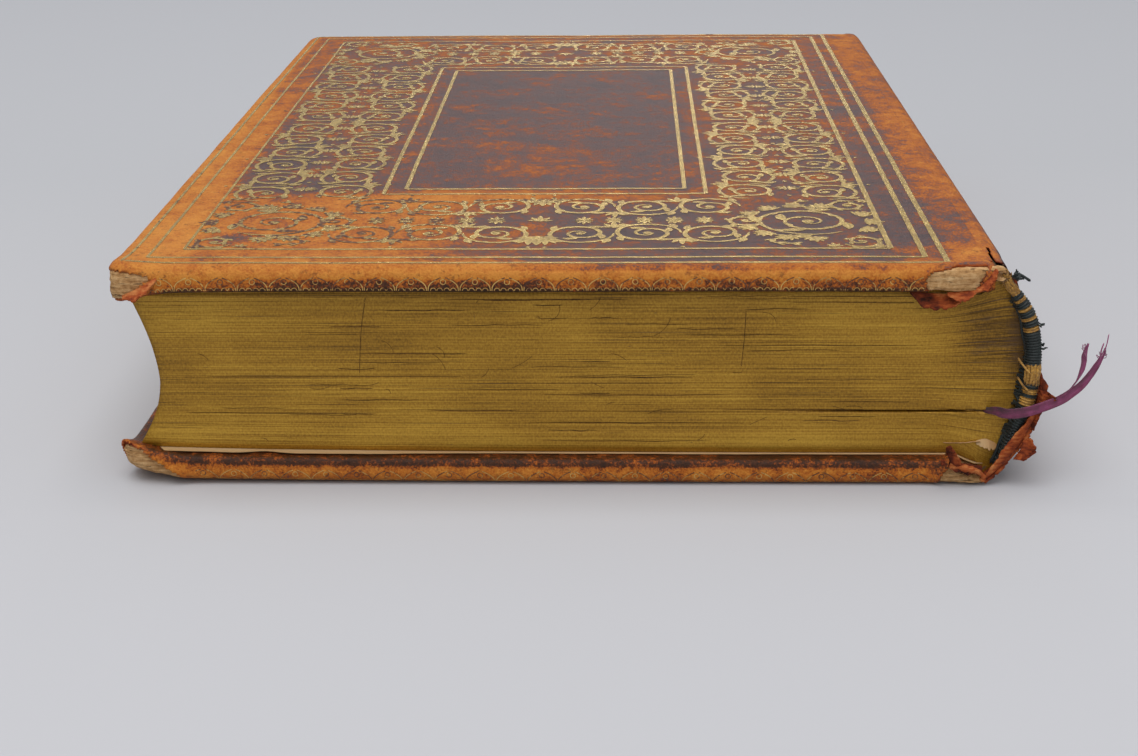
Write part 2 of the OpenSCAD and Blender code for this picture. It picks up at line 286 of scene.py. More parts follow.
class Finish:
    """A material under construction: its tree, its shader and the sockets that say where a point is."""

    def __init__(self, name):
        self.material = bpy.data.materials.new(name)
        self.material.use_nodes = True
        self.tree = self.material.node_tree
        self.shader = self.tree.nodes["Principled BSDF"]
        coords = self.tree.nodes.new("ShaderNodeTexCoord")
        self.where, self.chart = coords.outputs["Object"], coords.outputs["UV"]

    def plug(self, socket, value):
        """Links a socket into another, or sets its constant."""
        if isinstance(value, bpy.types.NodeSocket):
            self.tree.links.new(value, socket)
        else:
            socket.default_value = value

    def add(self, kind, sockets, **settings):
        made = self.tree.nodes.new("ShaderNode" + kind)
        for key, value in settings.items():
            setattr(made, key, value)
        for key, value in sockets.items():
            self.plug(made.inputs[key], value)
        return made

    def set(self, **sockets):
        """Sets the shader's sockets; an underscore in a name stands for a space."""
        for key, value in sockets.items():
            self.plug(self.shader.inputs[key.replace("_", " ")], value)

    def noise(self, size, detail=4.0, rough=0.55, stretch=(1.0, 1.0, 1.0), chart=False):
        """Noise with features of that size in mm, longer by the stretch along each axis."""
        scale = tuple(1.0 / s for s in stretch)
        source = self.chart if chart else self.where
        vector = self.add("Mapping", {"Vector": source, "Scale": scale}).outputs["Vector"]
        unit = size if chart else size * MM
        sockets = {"Vector": vector, "Scale": 1.0 / unit, "Detail": detail, "Roughness": rough}
        return self.add("TexNoise", sockets).outputs["Fac"]

    def math(self, operation, a, b=0.0, c=0.0):
        made = self.add("Math", {0: a, 1: b, 2: c}, operation=operation)
        return made.outputs["Value"]

    def total(self, start, *terms):
        """start plus each (socket, strength) with the socket centred on its mean of one half."""
        for socket, strength in terms:
            centred = self.math("MULTIPLY_ADD", socket, strength, -0.5 * strength)
            start = self.math("ADD", start, centred)
        return start

    def step(self, value, low, high, to_low=0.0, to_high=1.0):
        """Value from low to high, carried to another range along a smoothstep."""
        names = {"Value": value, "From Min": low, "From Max": high, "To Min": to_low, "To Max": to_high}
        return self.add("MapRange", names, interpolation_type="SMOOTHSTEP").outputs["Result"]

    def ramp(self, value, stops):
        """Colours along a value: stops are (place, colour)."""
        made = self.add("ValToRGB", {"Fac": value})
        points = made.color_ramp.elements
        while len(points) < len(stops):
            points.new(0.5)
        for point, (place, colour) in zip(points, stops):
            point.position, point.color = place, colour
        return made.outputs["Color"]

    def blend(self, factor, first, second):
        """first where the factor is 0, second where it is 1."""
        made = self.tree.nodes.new("ShaderNodeMix")
        made.data_type = "RGBA"
        self.plug(made.inputs[0], factor)
        self.plug(made.inputs[6], first)
        self.plug(made.inputs[7], second)
        return made.outputs[2]

    def attribute(self, name):
        return self.add("Attribute", {}, attribute_name=name).outputs["Fac"]

    def relief(self, height, depth, strength=1.0):
        """Bump of that depth in mm."""
        made = self.add("Bump", {"Height": height, "Distance": depth * MM, "Strength": strength})
        self.set(Normal=made.outputs["Normal"])


print("node helpers ready")


# %% [markdown]
# ## Leather
# The covers were stained dark. Handling has rubbed the stain off edges and high spots, down to the orange
# skin. A wear value on each point says how far that has gone, noise breaks up its border, and two ramps, one
# for faces and one for edges, go from the dark end through red-brown to bare skin. The dark end is
# purple-grey on the faces and plain brown on the edges. The kept stain is smoother than the rubbed skin.

# %% Cover leather and torn leather
def rubbed_leather_nodes(finish):
    """The wear level with its noise, and the leather's colour from it. The dark end is purple-grey on the two
    faces and plain brown between them, so the ramp is picked by the distance from the book's middle height."""
    blotch = finish.noise(11.0, 6.0, 0.65)
    scuff = finish.noise(2.4, 8.0, 0.74)
    pore = finish.noise(0.42, 5.0, 0.7)
    level = finish.total(finish.attribute("wear"), (blotch, 0.85), (scuff, 1.1), (pore, 1.15))
    places = (0.08, 0.36, 0.46, 0.53, 0.66, 1.0)
    on_face = [(62, 45, 47), (88, 62, 60), (114, 59, 34), (150, 76, 26), (176, 98, 30), (202, 131, 50)]
    on_edge = [(44, 22, 8), (70, 36, 11), (104, 49, 12), (148, 73, 18), (184, 102, 26), (212, 140, 52)]
    face_colour = finish.ramp(level, [(place, tone(*c)) for place, c in zip(places, on_face)])
    edge_colour = finish.ramp(level, [(place, tone(*c)) for place, c in zip(places, on_edge)])
    height = finish.add("SeparateXYZ", {"Vector": finish.where}).outputs["Z"]
    from_middle = finish.math("ABSOLUTE", finish.math("SUBTRACT", height, mid_z * MM))
    near_face = finish.step(from_middle, (mid_z - 2.2) * MM, (mid_z - 1.2) * MM)
    pit = finish.step(finish.noise(1.3, 7.0, 0.72), 0.34, 0.45, 0.55, 0.0)
    colour = finish.blend(near_face, edge_colour, face_colour)
    return level, finish.blend(pit, colour, tone(88, 48, 22)), scuff, pore


leather = Finish("rubbed_cover_leather")
wear_level, leather_colour, leather_scuff, leather_pore = rubbed_leather_nodes(leather)
leather.set(Base_Color=leather_colour, Roughness=leather.step(wear_level, 0.3, 0.7, 0.38, 0.7))
leather.set(Specular_IOR_Level=0.3)
grain = leather.total(leather_pore, (leather_scuff, 1.4), (leather.noise(0.35, 2.0), 0.7))
leather.relief(grain, 0.2, 0.9)

torn = Finish("torn_leather")
strand = torn.noise(0.5, 5.0, 0.65, (5.0, 1.6, 1.0))
lump = torn.noise(2.2, 4.0)
torn_level = torn.total(torn.attribute("wear"), (strand, 1.1), (lump, 1.1))
torn_stops = [
    (0.1, tone(46, 20, 12)), (0.4, tone(110, 44, 20)),
    (0.62, tone(158, 74, 32)), (1.0, tone(198, 128, 72))]
torn.set(Base_Color=torn.ramp(torn_level, torn_stops), Roughness=0.85, Specular_IOR_Level=0.25)
torn.relief(torn.total(strand, (lump, 0.8)), 0.22)
skin_finishes = [leather.material, torn.material]
print("leather finishes:", leather.material.name, torn.material.name)

# %% [markdown]
# ## Gold leaf
# Gold was laid into the warm leather with brass tools, and most of it is dull now. The finish is one shader
# that goes from leaf to bare groove by a noise mask, so broken gold is part of the material.

# %% Tooled gold
def gold_finish(name, leaf_tones, metal, roughness):
    """Leaf over a brown groove, mixed by a mask of flakes and patches that the wear value shifts."""
    made = Finish(name)
    flake = made.noise(1.1, 4.0, 0.6)
    patch = made.noise(8.0, 3.0)
    rubbed = made.math("MULTIPLY_ADD", made.attribute("wear"), -1.2, 1.0)
    kept = made.total(rubbed, (flake, 1.3), (patch, 0.9))
    leaf_mask = made.step(kept, 0.42, 0.56)
    leaf_colour = made.ramp(made.noise(2.4, 3.0), [(0.3, leaf_tones[0]), (0.7, leaf_tones[1])])
    groove_colour = made.ramp(flake, [(0.35, tone(66, 38, 26)), (0.65, tone(128, 80, 42))])
    made.set(Base_Color=made.blend(leaf_mask, groove_colour, leaf_colour))
    made.set(Metallic=made.math("MULTIPLY", leaf_mask, metal))
    made.set(Roughness=made.step(leaf_mask, 0.0, 1.0, 0.6, roughness))
    made.relief(made.total(flake, (made.noise(0.6, 3.0), 1.0)), 0.2, 1.0)
    return made.material


gold = gold_finish("tooled_gold", (tone(196, 158, 76), tone(246, 208, 112)), 0.85, 0.23)
dull_gold = gold_finish("dull_edge_gold", (tone(164, 122, 62), tone(214, 174, 98)), 0.35, 0.45)
print("gold finishes:", gold.name, dull_gold.name)

# %% [markdown]
# ## Board, paper, gilt edges and threads
# The boards are layers of pressed pulp, so their noise is stretched along the layers. The gilt edges are
# hundreds of leaf edges burnished together: their noise is stretched along each leaf on the piece's own map,
# with dark scratches and brown handling marks. Threads and cords get their twist from geometry, and only
# small colour changes here.

# %% Pulp board and papers
pulp = Finish("pulp_board")
layers = pulp.noise(0.45, 6.0, 0.75, (14.0, 14.0, 1.0))
fluff = pulp.noise(0.9, 5.0, 0.7)
split = pulp.step(pulp.noise(0.4, 4.0, 0.7, (10.0, 10.0, 1.0)), 0.32, 0.4)
board_level = pulp.total(0.5, (layers, 1.2), (fluff, 0.8))
board_stops = [(0.12, tone(116, 76, 40)), (0.45, tone(186, 142, 92)), (0.8, tone(232, 194, 142))]
board_colour = pulp.blend(split, tone(92, 62, 36), pulp.ramp(board_level, board_stops))
pulp.set(Base_Color=board_colour, Roughness=0.92, Specular_IOR_Level=0.25)
pulp.relief(pulp.total(board_level, (split, 1.0)), 0.3)


def paper_finish(name, pale, brown, foxed):
    """Laid paper: soft cloudy tone, small brown fox marks, browned where the wear value says so."""
    made = Finish(name)
    cloud = made.noise(48.0, 6.0, 0.55)
    spot = made.step(made.noise(3.2, 4.0, 0.6), 0.68, 0.78)
    aged = made.math("MAXIMUM", made.math("MULTIPLY", spot, 0.6), made.attribute("wear"))
    base = made.ramp(cloud, [(0.25, brown), (0.6, pale)])
    made.set(Base_Color=made.blend(aged, base, foxed), Roughness=0.88, Specular_IOR_Level=0.3)
    made.relief(made.noise(0.25, 3.0), 0.03)
    return made.material


endpaper = paper_finish("endpaper", tone(226, 208, 168), tone(202, 178, 132), tone(164, 118, 68))
lining_paper = paper_finish("spine_paper", tone(122, 96, 66), tone(88, 64, 42), tone(62, 40, 24))
print("papers:", endpaper.name, lining_paper.name)

# %% Gilt page edges
gilt = Finish("gilt_pages")
long_streak = gilt.noise(0.55, 2.0, 0.5, (420.0, 1.0, 1.0), chart=True)
fine_streak = gilt.noise(0.15, 2.0, 0.5, (500.0, 1.0, 1.0), chart=True)
cloud = gilt.noise(15.0, 5.0, 0.62, (1.8, 1.0, 1.0), chart=True)
tooth = gilt.noise(0.22, 3.0, 0.6, (1.6, 2.4, 1.0), chart=True)
# The page block's wear attribute carries its grime together with painted shade and a painted highlight (see
# page_face); higher values darken the gilt and bring out the rules and grime.
gilt_level = gilt.math("MULTIPLY_ADD", gilt.attribute("wear"), -0.22, 0.58)
gilt_level = gilt.total(gilt_level, (long_streak, 0.3), (fine_streak, 1.0), (cloud, 0.8), (tooth, 0.75))
gilt_stops = [(0.15, tone(104, 72, 16)), (0.5, tone(160, 118, 32)), (0.85, tone(196, 154, 54))]
gilt_colour = gilt.ramp(gilt_level, gilt_stops)
dirt_and_painted_light = gilt.attribute("wear")
rule = gilt.noise(0.17, 3.0, 0.6, (170.0, 1.0, 1.0), chart=True)
rule_mask = gilt.step(gilt.math("MULTIPLY_ADD", dirt_and_painted_light, 0.16, rule), 0.665, 0.72)
grime = gilt.noise(1.1, 5.0, 0.66, (9.0, 1.0, 1.0), chart=True)
grime_mask = gilt.step(gilt.math("MULTIPLY_ADD", dirt_and_painted_light, 0.24, grime), 0.74, 0.9)
scratch = gilt.step(gilt.noise(0.6, 3.0, 0.6, (1.0, 26.0, 1.0), chart=True), 0.735, 0.765)
nick = gilt.step(gilt.noise(0.3, 3.0, 0.6, (7.0, 1.0, 1.0), chart=True), 0.7, 0.74)
mark = gilt.math("MAXIMUM", rule_mask, gilt.math("MAXIMUM", gilt.math("MULTIPLY", scratch, 0.6), nick))
mark = gilt.math("MAXIMUM", mark, grime_mask)
gilt.set(Base_Color=gilt.blend(gilt.math("MULTIPLY", mark, 0.72), gilt_colour, tone(66, 40, 14)))
gilt.set(Metallic=gilt.step(mark, 0.0, 1.0, 0.5, 0.1), Roughness=gilt.step(gilt_level, 0.2, 0.8, 0.5, 0.4))
gilt.relief(gilt.total(fine_streak, (long_streak, 1.0), (mark, -1.0)), 0.05)
scored = Finish("scored_paper")
scored_stops = [(0.35, tone(58, 36, 14)), (0.65, tone(112, 78, 30))]
scored.set(Base_Color=scored.ramp(scored.noise(0.8, 4.0, 0.6), scored_stops))
scored.set(Roughness=0.75, Specular_IOR_Level=0.2)
print("gilt finish:", gilt.material.name, "and its scratches:", scored.material.name)


# %% Threads, cords and ribbon
def thread_finish(name, dark, pale, sheen):
    """Spun thread: colour changes along and across the strand, with a soft sheen."""
    made = Finish(name)
    ply = made.noise(0.35, 3.0, 0.6)
    cloud = made.noise(2.5, 3.0)
    made.set(Base_Color=made.ramp(made.total(0.5, (ply, 1.0), (cloud, 0.8)), [(0.25, dark), (0.75, pale)]))
    made.set(Roughness=0.55, Sheen_Weight=sheen, Sheen_Roughness=0.4)
    made.relief(ply, 0.05)
    return made.material


green_silk = thread_finish("green_silk", tone(8, 14, 14), tone(30, 42, 40), 0.1)
yellow_silk = thread_finish("yellow_silk", tone(116, 76, 22), tone(196, 148, 62), 0.15)
band_cord = thread_finish("band_cord", tone(150, 112, 74), tone(214, 178, 128), 0.1)
hemp_cord = thread_finish("hemp_cord", tone(120, 88, 54), tone(186, 150, 104), 0.05)

ribbon = Finish("ribbon_silk")
weft = ribbon.noise(0.09, 3.0, 0.6, (24.0, 1.0, 1.0), chart=True)
faded = ribbon.total(ribbon.attribute("wear"), (ribbon.noise(1.4, 4.0), 0.7), (weft, 0.7))
ribbon_stops = [
    (0.1, tone(50, 10, 30)), (0.45, tone(110, 34, 72)),
    (0.75, tone(150, 66, 112)), (1.0, tone(208, 162, 184))]
ribbon.set(Base_Color=ribbon.ramp(faded, ribbon_stops), Roughness=0.5, Sheen_Weight=0.25)
ribbon.relief(weft, 0.05)
print("thread finishes ready")

# %% [markdown]
# ## Floor and light
# A pale floor and soft light from above, with a weaker one in front. A small lamp far behind the book gives
# the gold its glints. The level is plain: a white card on the floor would come out just white. The floor
# lies a hair below the leather, so that the two never fight.

# %% Set the stage
floor_finish = Finish("pale_floor")
# The floor's tone is painted light and shade for the fall-off of the light: lighter in front, darkest a
# little behind the book and a little lighter far off, with slow noise.
away = floor_finish.add("SeparateXYZ", {"Vector": floor_finish.where}).outputs["Y"]
painted_falloff = floor_finish.math("MULTIPLY_ADD", floor_finish.noise(420.0, 3.0), 0.12, away)
floor_stops = [(0.0, tone(191, 191, 195)), (0.35, tone(182, 183, 187)), (1.0, tone(187, 188, 193))]
floor_finish.set(Base_Color=floor_finish.ramp(floor_finish.step(painted_falloff, -0.3, 0.9), floor_stops))
floor_finish.set(Roughness=0.9, Specular_IOR_Level=0.1)
reach_x = np.linspace(-3000.0, 3000.0, 3)
floor_x, floor_y = np.meshgrid(reach_x, reach_x + 600.0, indexing="ij")
floor_points = np.stack([floor_x, floor_y, np.full_like(floor_x, -0.1)], -1)
floor = piece("floor", [part(floor_points, facing=(0, 0, 1))], [floor_finish.material])


def softbox(name, place, aim, width, power):
    """A square area lamp at a place in metres, turned to face a point."""
    lamp = bpy.data.lights.new(name, "AREA")
    lamp.shape, lamp.size, lamp.energy = "SQUARE", width, power
    made = bpy.data.objects.new(name, lamp)
    away = np.array(place, float) - np.array(aim, float)
    away /= np.linalg.norm(away)
    across = np.cross((0, 1, 0.001), away)
    across /= np.linalg.norm(across)
    made.matrix_world = axes_matrix(across, np.cross(away, across), away, place)
    bpy.context.scene.collection.objects.link(made)


softbox("top_softbox", (-0.15, -0.25, 1.5), (0, 0, 0), 1.5, 19.5)
softbox("front_softbox", (0.2, -1.4, 1.2), (0, 0, 0.02), 1.2, 6.5)
softbox("glint_lamp", (0.05, 2.4, 0.95), (0, 0, 0.04), 0.25, 1.7)
world = bpy.data.worlds.new("studio")
world.use_nodes = True
world.node_tree.nodes["Background"].inputs["Color"].default_value = (0.97, 0.98, 1.0, 1.0)
world.node_tree.nodes["Background"].inputs["Strength"].default_value = 0.41
bpy.context.scene.world = world
bpy.context.scene.view_settings.view_transform = "Standard"
print("stage set")

# %% [markdown]
# ## One sheet of leather round a board
# The binder lays a flat sheet over the board and turns it in on three sides. We do the same: a point of the
# flat sheet is (p, q), and a profile says what happens to it past an inset line. It runs flat, rolls over a
# rounded edge, drops down the edge, rolls under and runs flat inside. At a corner the distance past the
# inset is a rounded-square one, which gives a full, slightly blunt corner. Board, leather and gold all use
# this one function with a different lift, so they can never part.

# %% Cover profile and sheet
inset = 12.0
round_out, round_in = 1.9, 0.9
turn_in = 9.0
corner_power = 7.0
hinge_zone = 58.0
facing_of = {"front": (0, 0, 1), "back": (0, 0, -1)}
fore_line = edge_x + inset
end_line = -edge_y - inset


def edge_profile(run_under):
    """Distance along the sheet, reach outwards, drop and surface angle: flat, quarter round, straight,
    quarter round, flat."""
    bend = np.linspace(0, np.pi / 2, 13)
    reach = np.concatenate([
        [0.0], inset - round_out + round_out * np.sin(bend),
        inset - round_in + round_in * np.cos(bend), [inset - run_under]])
    drop = np.concatenate([
        [0.0], round_out * (1 - np.cos(bend)),
        cover_t - round_in + round_in * np.sin(bend), [cover_t]])
    angle = np.concatenate([[0.0], bend, np.pi / 2 + bend, [np.pi]])
    along = np.r_[0, np.cumsum(np.hypot(np.diff(reach), np.diff(drop)))]
    return along, reach, drop, angle


turned_under = edge_profile(turn_in)
wrapped_under = edge_profile(inset)


def bend_cover(x, y, z, side):
    """Old damage to the shape: the front's near corner has swelled and droops, the back's has lifted and
    curled, and both covers wave a little."""
    from_fore, from_head = x - edge_x, y - edge_y
    wave = 0.09 * mottle(x, y, 34.0, 5 if side == "front" else 6)
    if side == "front":
        tip = np.exp(-(from_fore**2 + from_head**2) / (2 * 4.6**2))
        depth = (book_t - z) / cover_t
        return x - 0.5 * tip, y - 0.3 * tip, z + tip * (0.8 - 2.6 * depth) + wave
    tip = np.exp(-(from_fore**2 + from_head**2) / (2 * 4.2**2))
    lift = 0.85 * np.exp(-np.maximum(from_fore, 0) / 32) * np.exp(-np.maximum(from_head, 0) / 70)
    return x - 0.5 * tip, y, z + lift + (1.5 + 0.22 * z) * tip + np.maximum(wave, 0) * 0.5


def cover_point(p, q, lift, side, profile=turned_under, bent=True):
    """Where a point of the flat sheet ends up: the nearest point inside the inset lines, pushed outwards by
    the profile's reach and down by its drop, with the lift along the surface's own normal."""
    along, reach_at, drop_at, angle_at = profile
    ex = np.maximum(fore_line - p, 0.0)
    ey = np.maximum(np.abs(q) - end_line, 0.0)
    past = (ex**corner_power + ey**corner_power) ** (1 / corner_power)
    safe = np.maximum(past, 1e-9)
    angle = np.interp(past, along, angle_at)
    reach = np.interp(past, along, reach_at) + lift * np.sin(angle)
    drop = np.interp(past, along, drop_at) - lift * np.cos(angle)
    x = np.maximum(p, fore_line) - ex / safe * reach
    y = np.clip(q, -end_line, end_line) + np.sign(q) * ey / safe * reach
    z = book_t - drop if side == "front" else drop + np.zeros_like(x)
    if bent:
        x, y, z = bend_cover(x, y, z, side)
    return np.stack([x, y, z], -1), past


def sheet_lines(run, middle=1.0):
    """Grid lines across and along a sheet: close at its edges, near the head and at the hinge corner, and
    wider by the middle's share elsewhere."""
    p = np.concatenate([
        np.linspace(fore_line - run, fore_line, 60)[:-1],
        np.linspace(fore_line, hinge_zone, int(78 * middle))[:-1],
        np.linspace(hinge_zone, hinge_x, 40)])
    q = np.concatenate([
        np.linspace(-end_line - run, -end_line, 64)[:-1],
        np.linspace(-end_line, end_line, int(126 * middle))[:-1],
        np.linspace(end_line, end_line + run, int(40 * middle))])
    return np.meshgrid(p, q, indexing="ij")


print("sheet runs past the inset line:", round(turned_under[0][-1], 2), "mm")


# %% [markdown]
# ## Where the leather has gone
# Four places are worn or torn through to the board, all at the head: a wedge at each fore corner, a lens on
# the front's edge near the hinge, and the back's hinge corner. Each lies between slanting lines and has a
# ragged border: the value is below 0 inside it and grows outside. The leather is cut there, curls up a
# little along the border, and the board swells out into the hole.

# %% Bare places and wear
panel_middle = -2.5
panel_half_x, panel_half_y = 27.0, 61.0


def bare_distance(x, y, z, side):
    """How far outside the nearest bare place a point lies, in mm. At the front's fore corner the place is a
    wedge between two slanting lines, at the back's it is all that lies under one line. Towards the hinge the
    front has a lens on its head edge, and the back has lost all that lies past a slanting line."""
    fray = ragged(x + 0.4 * y, z * 1.4 + y, 2.2, 31)
    from_fore, from_head = x - edge_x, y - edge_y
    if side == "front":
        corner = from_fore + 0.8 * from_head
        wedge = np.maximum(z - (book_t - 0.5 - 0.12 * corner), book_t - 6.8 + 0.6 * corner - z)
        top_line = np.minimum(38.4 + 0.2 * (x - 63.4), 39.5)
        lens = np.maximum(np.maximum(z - top_line, 34.6 - z), (63.3 - x) + 0.3 * np.abs(z - 37))
        lens = np.maximum(lens, x - 72.5 - 0.46 * (z - 36.1))
        lens = np.maximum(lens, from_head - 2.2)
        return np.minimum(wedge + 0.25 * fray, lens + 0.18 * fray)
    corner = from_fore + 1.6 * from_head
    wedge = np.maximum(z - (6.4 - 0.5 * corner), np.minimum(from_fore, from_head) - 4.0)
    gap = np.maximum(66.8 - x + 0.5 * z, from_head - 2.6 - 4.0 * smooth((z - 3.0) / 1.5))
    return np.minimum(wedge, gap) + 0.4 * fray


def cover_wear_and_shade(x, y, z, side):
    """How far the stain has rubbed away, from 0 kept to 1 bare skin: edges, the fore margin, the near
    fore quarter, the hinge margin, and a band under the middle panel. At the bottom of the front's edge,
    where it meets the pages, the value drops into a dark line: painted shade."""
    from_fore, from_ends = x - edge_x, -edge_y - np.abs(y)
    outer = np.minimum(from_fore, from_ends)
    in_panel = smooth((panel_half_x + 3 - np.abs(x - panel_middle)) / 3)
    in_panel = in_panel * smooth((panel_half_y + 2 - np.abs(y)) / 3)
    worn = 0.43 - 0.10 * in_panel
    worn += (0.36 - 0.28 * smooth((y + 20) / 100)) * (1 - smooth((from_fore - 8) / 6))
    worn += 0.30 * smooth((-10 - x) / 18) * smooth((-58 - y) / 14)
    worn -= 0.10 * smooth((x + 8) / 14) * smooth((-68 - y) / 6)
    worn += 0.30 * (1 - smooth((outer - 2.5) / 2.0))
    worn += 0.16 * smooth((x - 67) / 3)
    worn += 0.30 * hump(y, -67, 5) * hump(x, -12, 26)
    worn -= 0.34 * hump(x, -57, 6) * hump(y, -97, 4)
    worn += 0.07 * smooth((y - 66) / 20)
    worn += 0.11 * hump(x, -2, 18) * hump(y, -36, 20)
    worn += 0.22 * smooth((x - 54) / 10) * smooth((-99 - y) / 5)
    worn -= 0.10 * hump(x, -54, 6) * hump(y, -35, 50)
    worn -= 0.08 * hump(x, 63, 4) * hump(y, -45, 50)
    # On the edges the rounded part next to the cover's face is rubbed lighter and the rest of the edge is
    # darker. The last term on the front paints a dark line of shade where the edge meets the pages.
    drop = book_t - z if side == "front" else z
    if side == "front":
        stained = 0.36 + 0.2 * hump(x, -16, 16)
        edge_tone = 0.92 - stained * smooth((drop - 1.7) / 1.0) - 0.3 * smooth((drop - 3.6) / 0.5)
    else:
        edge_tone = 0.68 - 0.34 * smooth((drop - 2.9) / 0.6)
    worn = np.where(drop > 0.7, edge_tone, np.minimum(worn, 0.85))
    rust = np.exp(-np.maximum(bare_distance(x, y, z, side), 0) / 1.6)
    return worn + (np.where(x > 0, 0.5, 0.78) - worn) * 0.8 * rust


print("wear at the middle:", round(float(cover_wear_and_shade(0.0, 0.0, book_t, "front")), 2))


# %% [markdown]
# ## The leather skins and the boards
# A skin is the sheet with the bare places cut out, and a Solidify modifier gives it its thickness inwards.
# The board under it follows the same profile, a leather's thickness deeper, and a plate closes its underside.

# %% Make the cover skins
skin_t = 0.55


def pucker(p, q, z, side):
    """Small waves of the leather, in mm; the face that the book lies on is flat."""
    waves = 0.05 * ragged(p, q, 6.0, 17) + 0.07 * ragged(p, q, 19.0, 18)
    return waves if side == "front" else waves * smooth(z / 1.2)


def onto_border(p, q, side):
    """Moves each grid point that is near a bare place's border onto it, along the border's own slope."""
    for _ in range(2):
        plain, past = cover_point(p, q, 0.0, side, bent=False)
        bare = bare_distance(*np.moveaxis(plain, -1, 0), side)
        slope_p = np.gradient(bare, axis=0) / np.gradient(p, axis=0)
        slope_q = np.gradient(bare, axis=1) / np.gradient(q, axis=1)
        steep = np.maximum(slope_p**2 + slope_q**2, 0.2)
        pull = np.where(np.abs(bare) < 0.25, bare - 0.01, 0.0) / steep
        p, q = p - np.clip(pull * slope_p, -0.1, 0.1), q - np.clip(pull * slope_q, -0.1, 0.1)
    return p, q


def cover_skin(side):
    p, q = sheet_lines(turned_under[0][-1])
    p, q = onto_border(p, q, side)
    plain, past = cover_point(p, q, 0.0, side, bent=False)
    bare = bare_distance(*np.moveaxis(plain, -1, 0), side)
    curl_at = 0.1 if side == "front" else 0.5 * smooth(plain[..., 2] / 1.2)
    curl = curl_at * np.exp(-np.maximum(bare, 0) / 0.8)
    lift = pucker(p, q, plain[..., 2], side) + curl - 0.35 * smooth((p - 74.0) / 0.9)
    points, past = cover_point(p, q, lift, side)
    keep = (bare > -0.06) & (past <= turned_under[0][-1] + 1e-6)
    wear = cover_wear_and_shade(*np.moveaxis(plain, -1, 0), side)
    return part(points, wear, keep=keep, facing=facing_of[side])


for side in ("front", "back"):
    piece(f"{side}_leather_skin", [cover_skin(side)], skin_finishes, f"{side}_cover",
          thickness=skin_t, stands_for=[f"{side}_leather"])


# %% Make the boards
board_depth = 0.62


def board_shell(side):
    run = wrapped_under[0][-1]
    p, q = sheet_lines(run, 0.5)
    plain, past = cover_point(p, q, 0.0, side, wrapped_under, bent=False)
    x, y, z = np.moveaxis(plain, -1, 0)
    bare = bare_distance(x, y, z, side)
    fibre = 0.3 * ragged(x * 0.4 + y, z * 3.0, 1.5, 41) + 0.2 * ragged(x * 0.7, z * 6 + y, 1.0, 44)
    lift = -board_depth + (0.46 + fibre) * smooth((0.5 - bare) / 0.9)
    shell, past = cover_point(p, q, lift, side, wrapped_under)
    if side == "back":
        worn_away = np.exp(-((x - edge_x) ** 2 + (y - edge_y) ** 2) / (2 * 5.0**2))
        shell[..., 2] += 0.5 * worn_away * smooth((2.6 - z) / 2.0)
        hinge_corner = smooth((x - 68) / 5) * np.exp(-np.maximum(y - edge_y, 0) / 5)
        shell[..., 2] -= 0.7 * hinge_corner * z
        shell[..., 2] = np.maximum(shell[..., 2], 0.06)
    inside = past <= run + 1e-6
    flat_rows = p[:, 0] >= fore_line - 1e-9
    plate_p, plate_q = p[flat_rows], q[flat_rows]
    middle = np.abs(plate_q[0]) <= end_line + 1e-9
    plate_x, plate_y = plate_p[:, middle], plate_q[:, middle]
    inner_z = book_t - cover_t if side == "front" else cover_t
    inset_z = board_depth if side == "front" else -board_depth
    plate_z = np.full_like(plate_x, inner_z)
    plate = np.stack(bend_cover(plate_x, plate_y, plate_z, side), -1) + (0, 0, inset_z)
    up = 1 if side == "front" else -1
    outer_row = np.flatnonzero(inside[-1])
    loop = shell[-1][outer_row[0]:outer_row[-1] + 1]
    under = np.stack([np.full(len(loop), hinge_x), np.clip(loop[:, 1], -end_line, end_line),
                      np.full(len(loop), inner_z + inset_z)], -1)
    cap = np.stack([loop, under], 1)
    return [part(shell, 0.5, keep=inside, facing=(0, 0, up)), part(plate, 0.5, facing=(0, 0, -up)),
            part(cap, 0.5, facing=(1, 0, 0))]


for side in ("front", "back"):
    piece(f"{side}_board_core", board_shell(side), [pulp.material], f"{side}_cover",
          stands_for=[f"{side}_board"], merge=True)

# %% [markdown]
# ## Gold tooling
# The binder works with three kinds of brass: fillets that run straight lines, small hand tools for scrolls
# and leaves, and a roll for the edges. Here each is a stroke: a path on the flat sheet with a width at every
# point. A leaf is a short stroke that swells and closes, and a dot is one as long as it is wide. Strokes are
# laid on the cover with the same sheet function as the leather.


# %% Strokes and tools
def stroke(path, width):
    """A flat band along a path: each point is pushed half the width to both sides, square to the path."""
    path = np.asarray(path, float)
    along = np.gradient(path, axis=0)
    along /= np.linalg.norm(along, axis=1)[:, None] + 1e-12
    across = np.stack([-along[:, 1], along[:, 0]], -1) * (np.broadcast_to(width, len(path)) / 2)[:, None]
    return np.stack([path - across, path + across], 1)


def fillet_line(start, end, width):
    """A straight line with slightly uneven pressure."""
    start, end = np.asarray(start, float), np.asarray(end, float)
    count = max(int(np.linalg.norm(end - start) / 1.2), 4)
    t = np.linspace(0, 1, count)[:, None]
    path = start + (end - start) * t
    return stroke(path, width * (0.96 + 0.08 * mottle(path[:, 0] + 7.3 * path[:, 1], 0.0, 2.5, 61)))


def leaf(x, y, angle, length, bend=0.6, width=0.32):
    """A leaf from its stalk: the path turns by the bend, and the width swells and closes like a sine."""
    t = np.linspace(0, 1, 9)
    heading = angle + bend * t
    step = length / 8 * np.stack([np.cos(heading), np.sin(heading)], -1)
    path = np.array([x, y]) + np.vstack([[0, 0], np.cumsum(step[:-1], axis=0)])
    return stroke(path, length * width * np.sin(np.pi * t) ** 0.8 + 0.05)


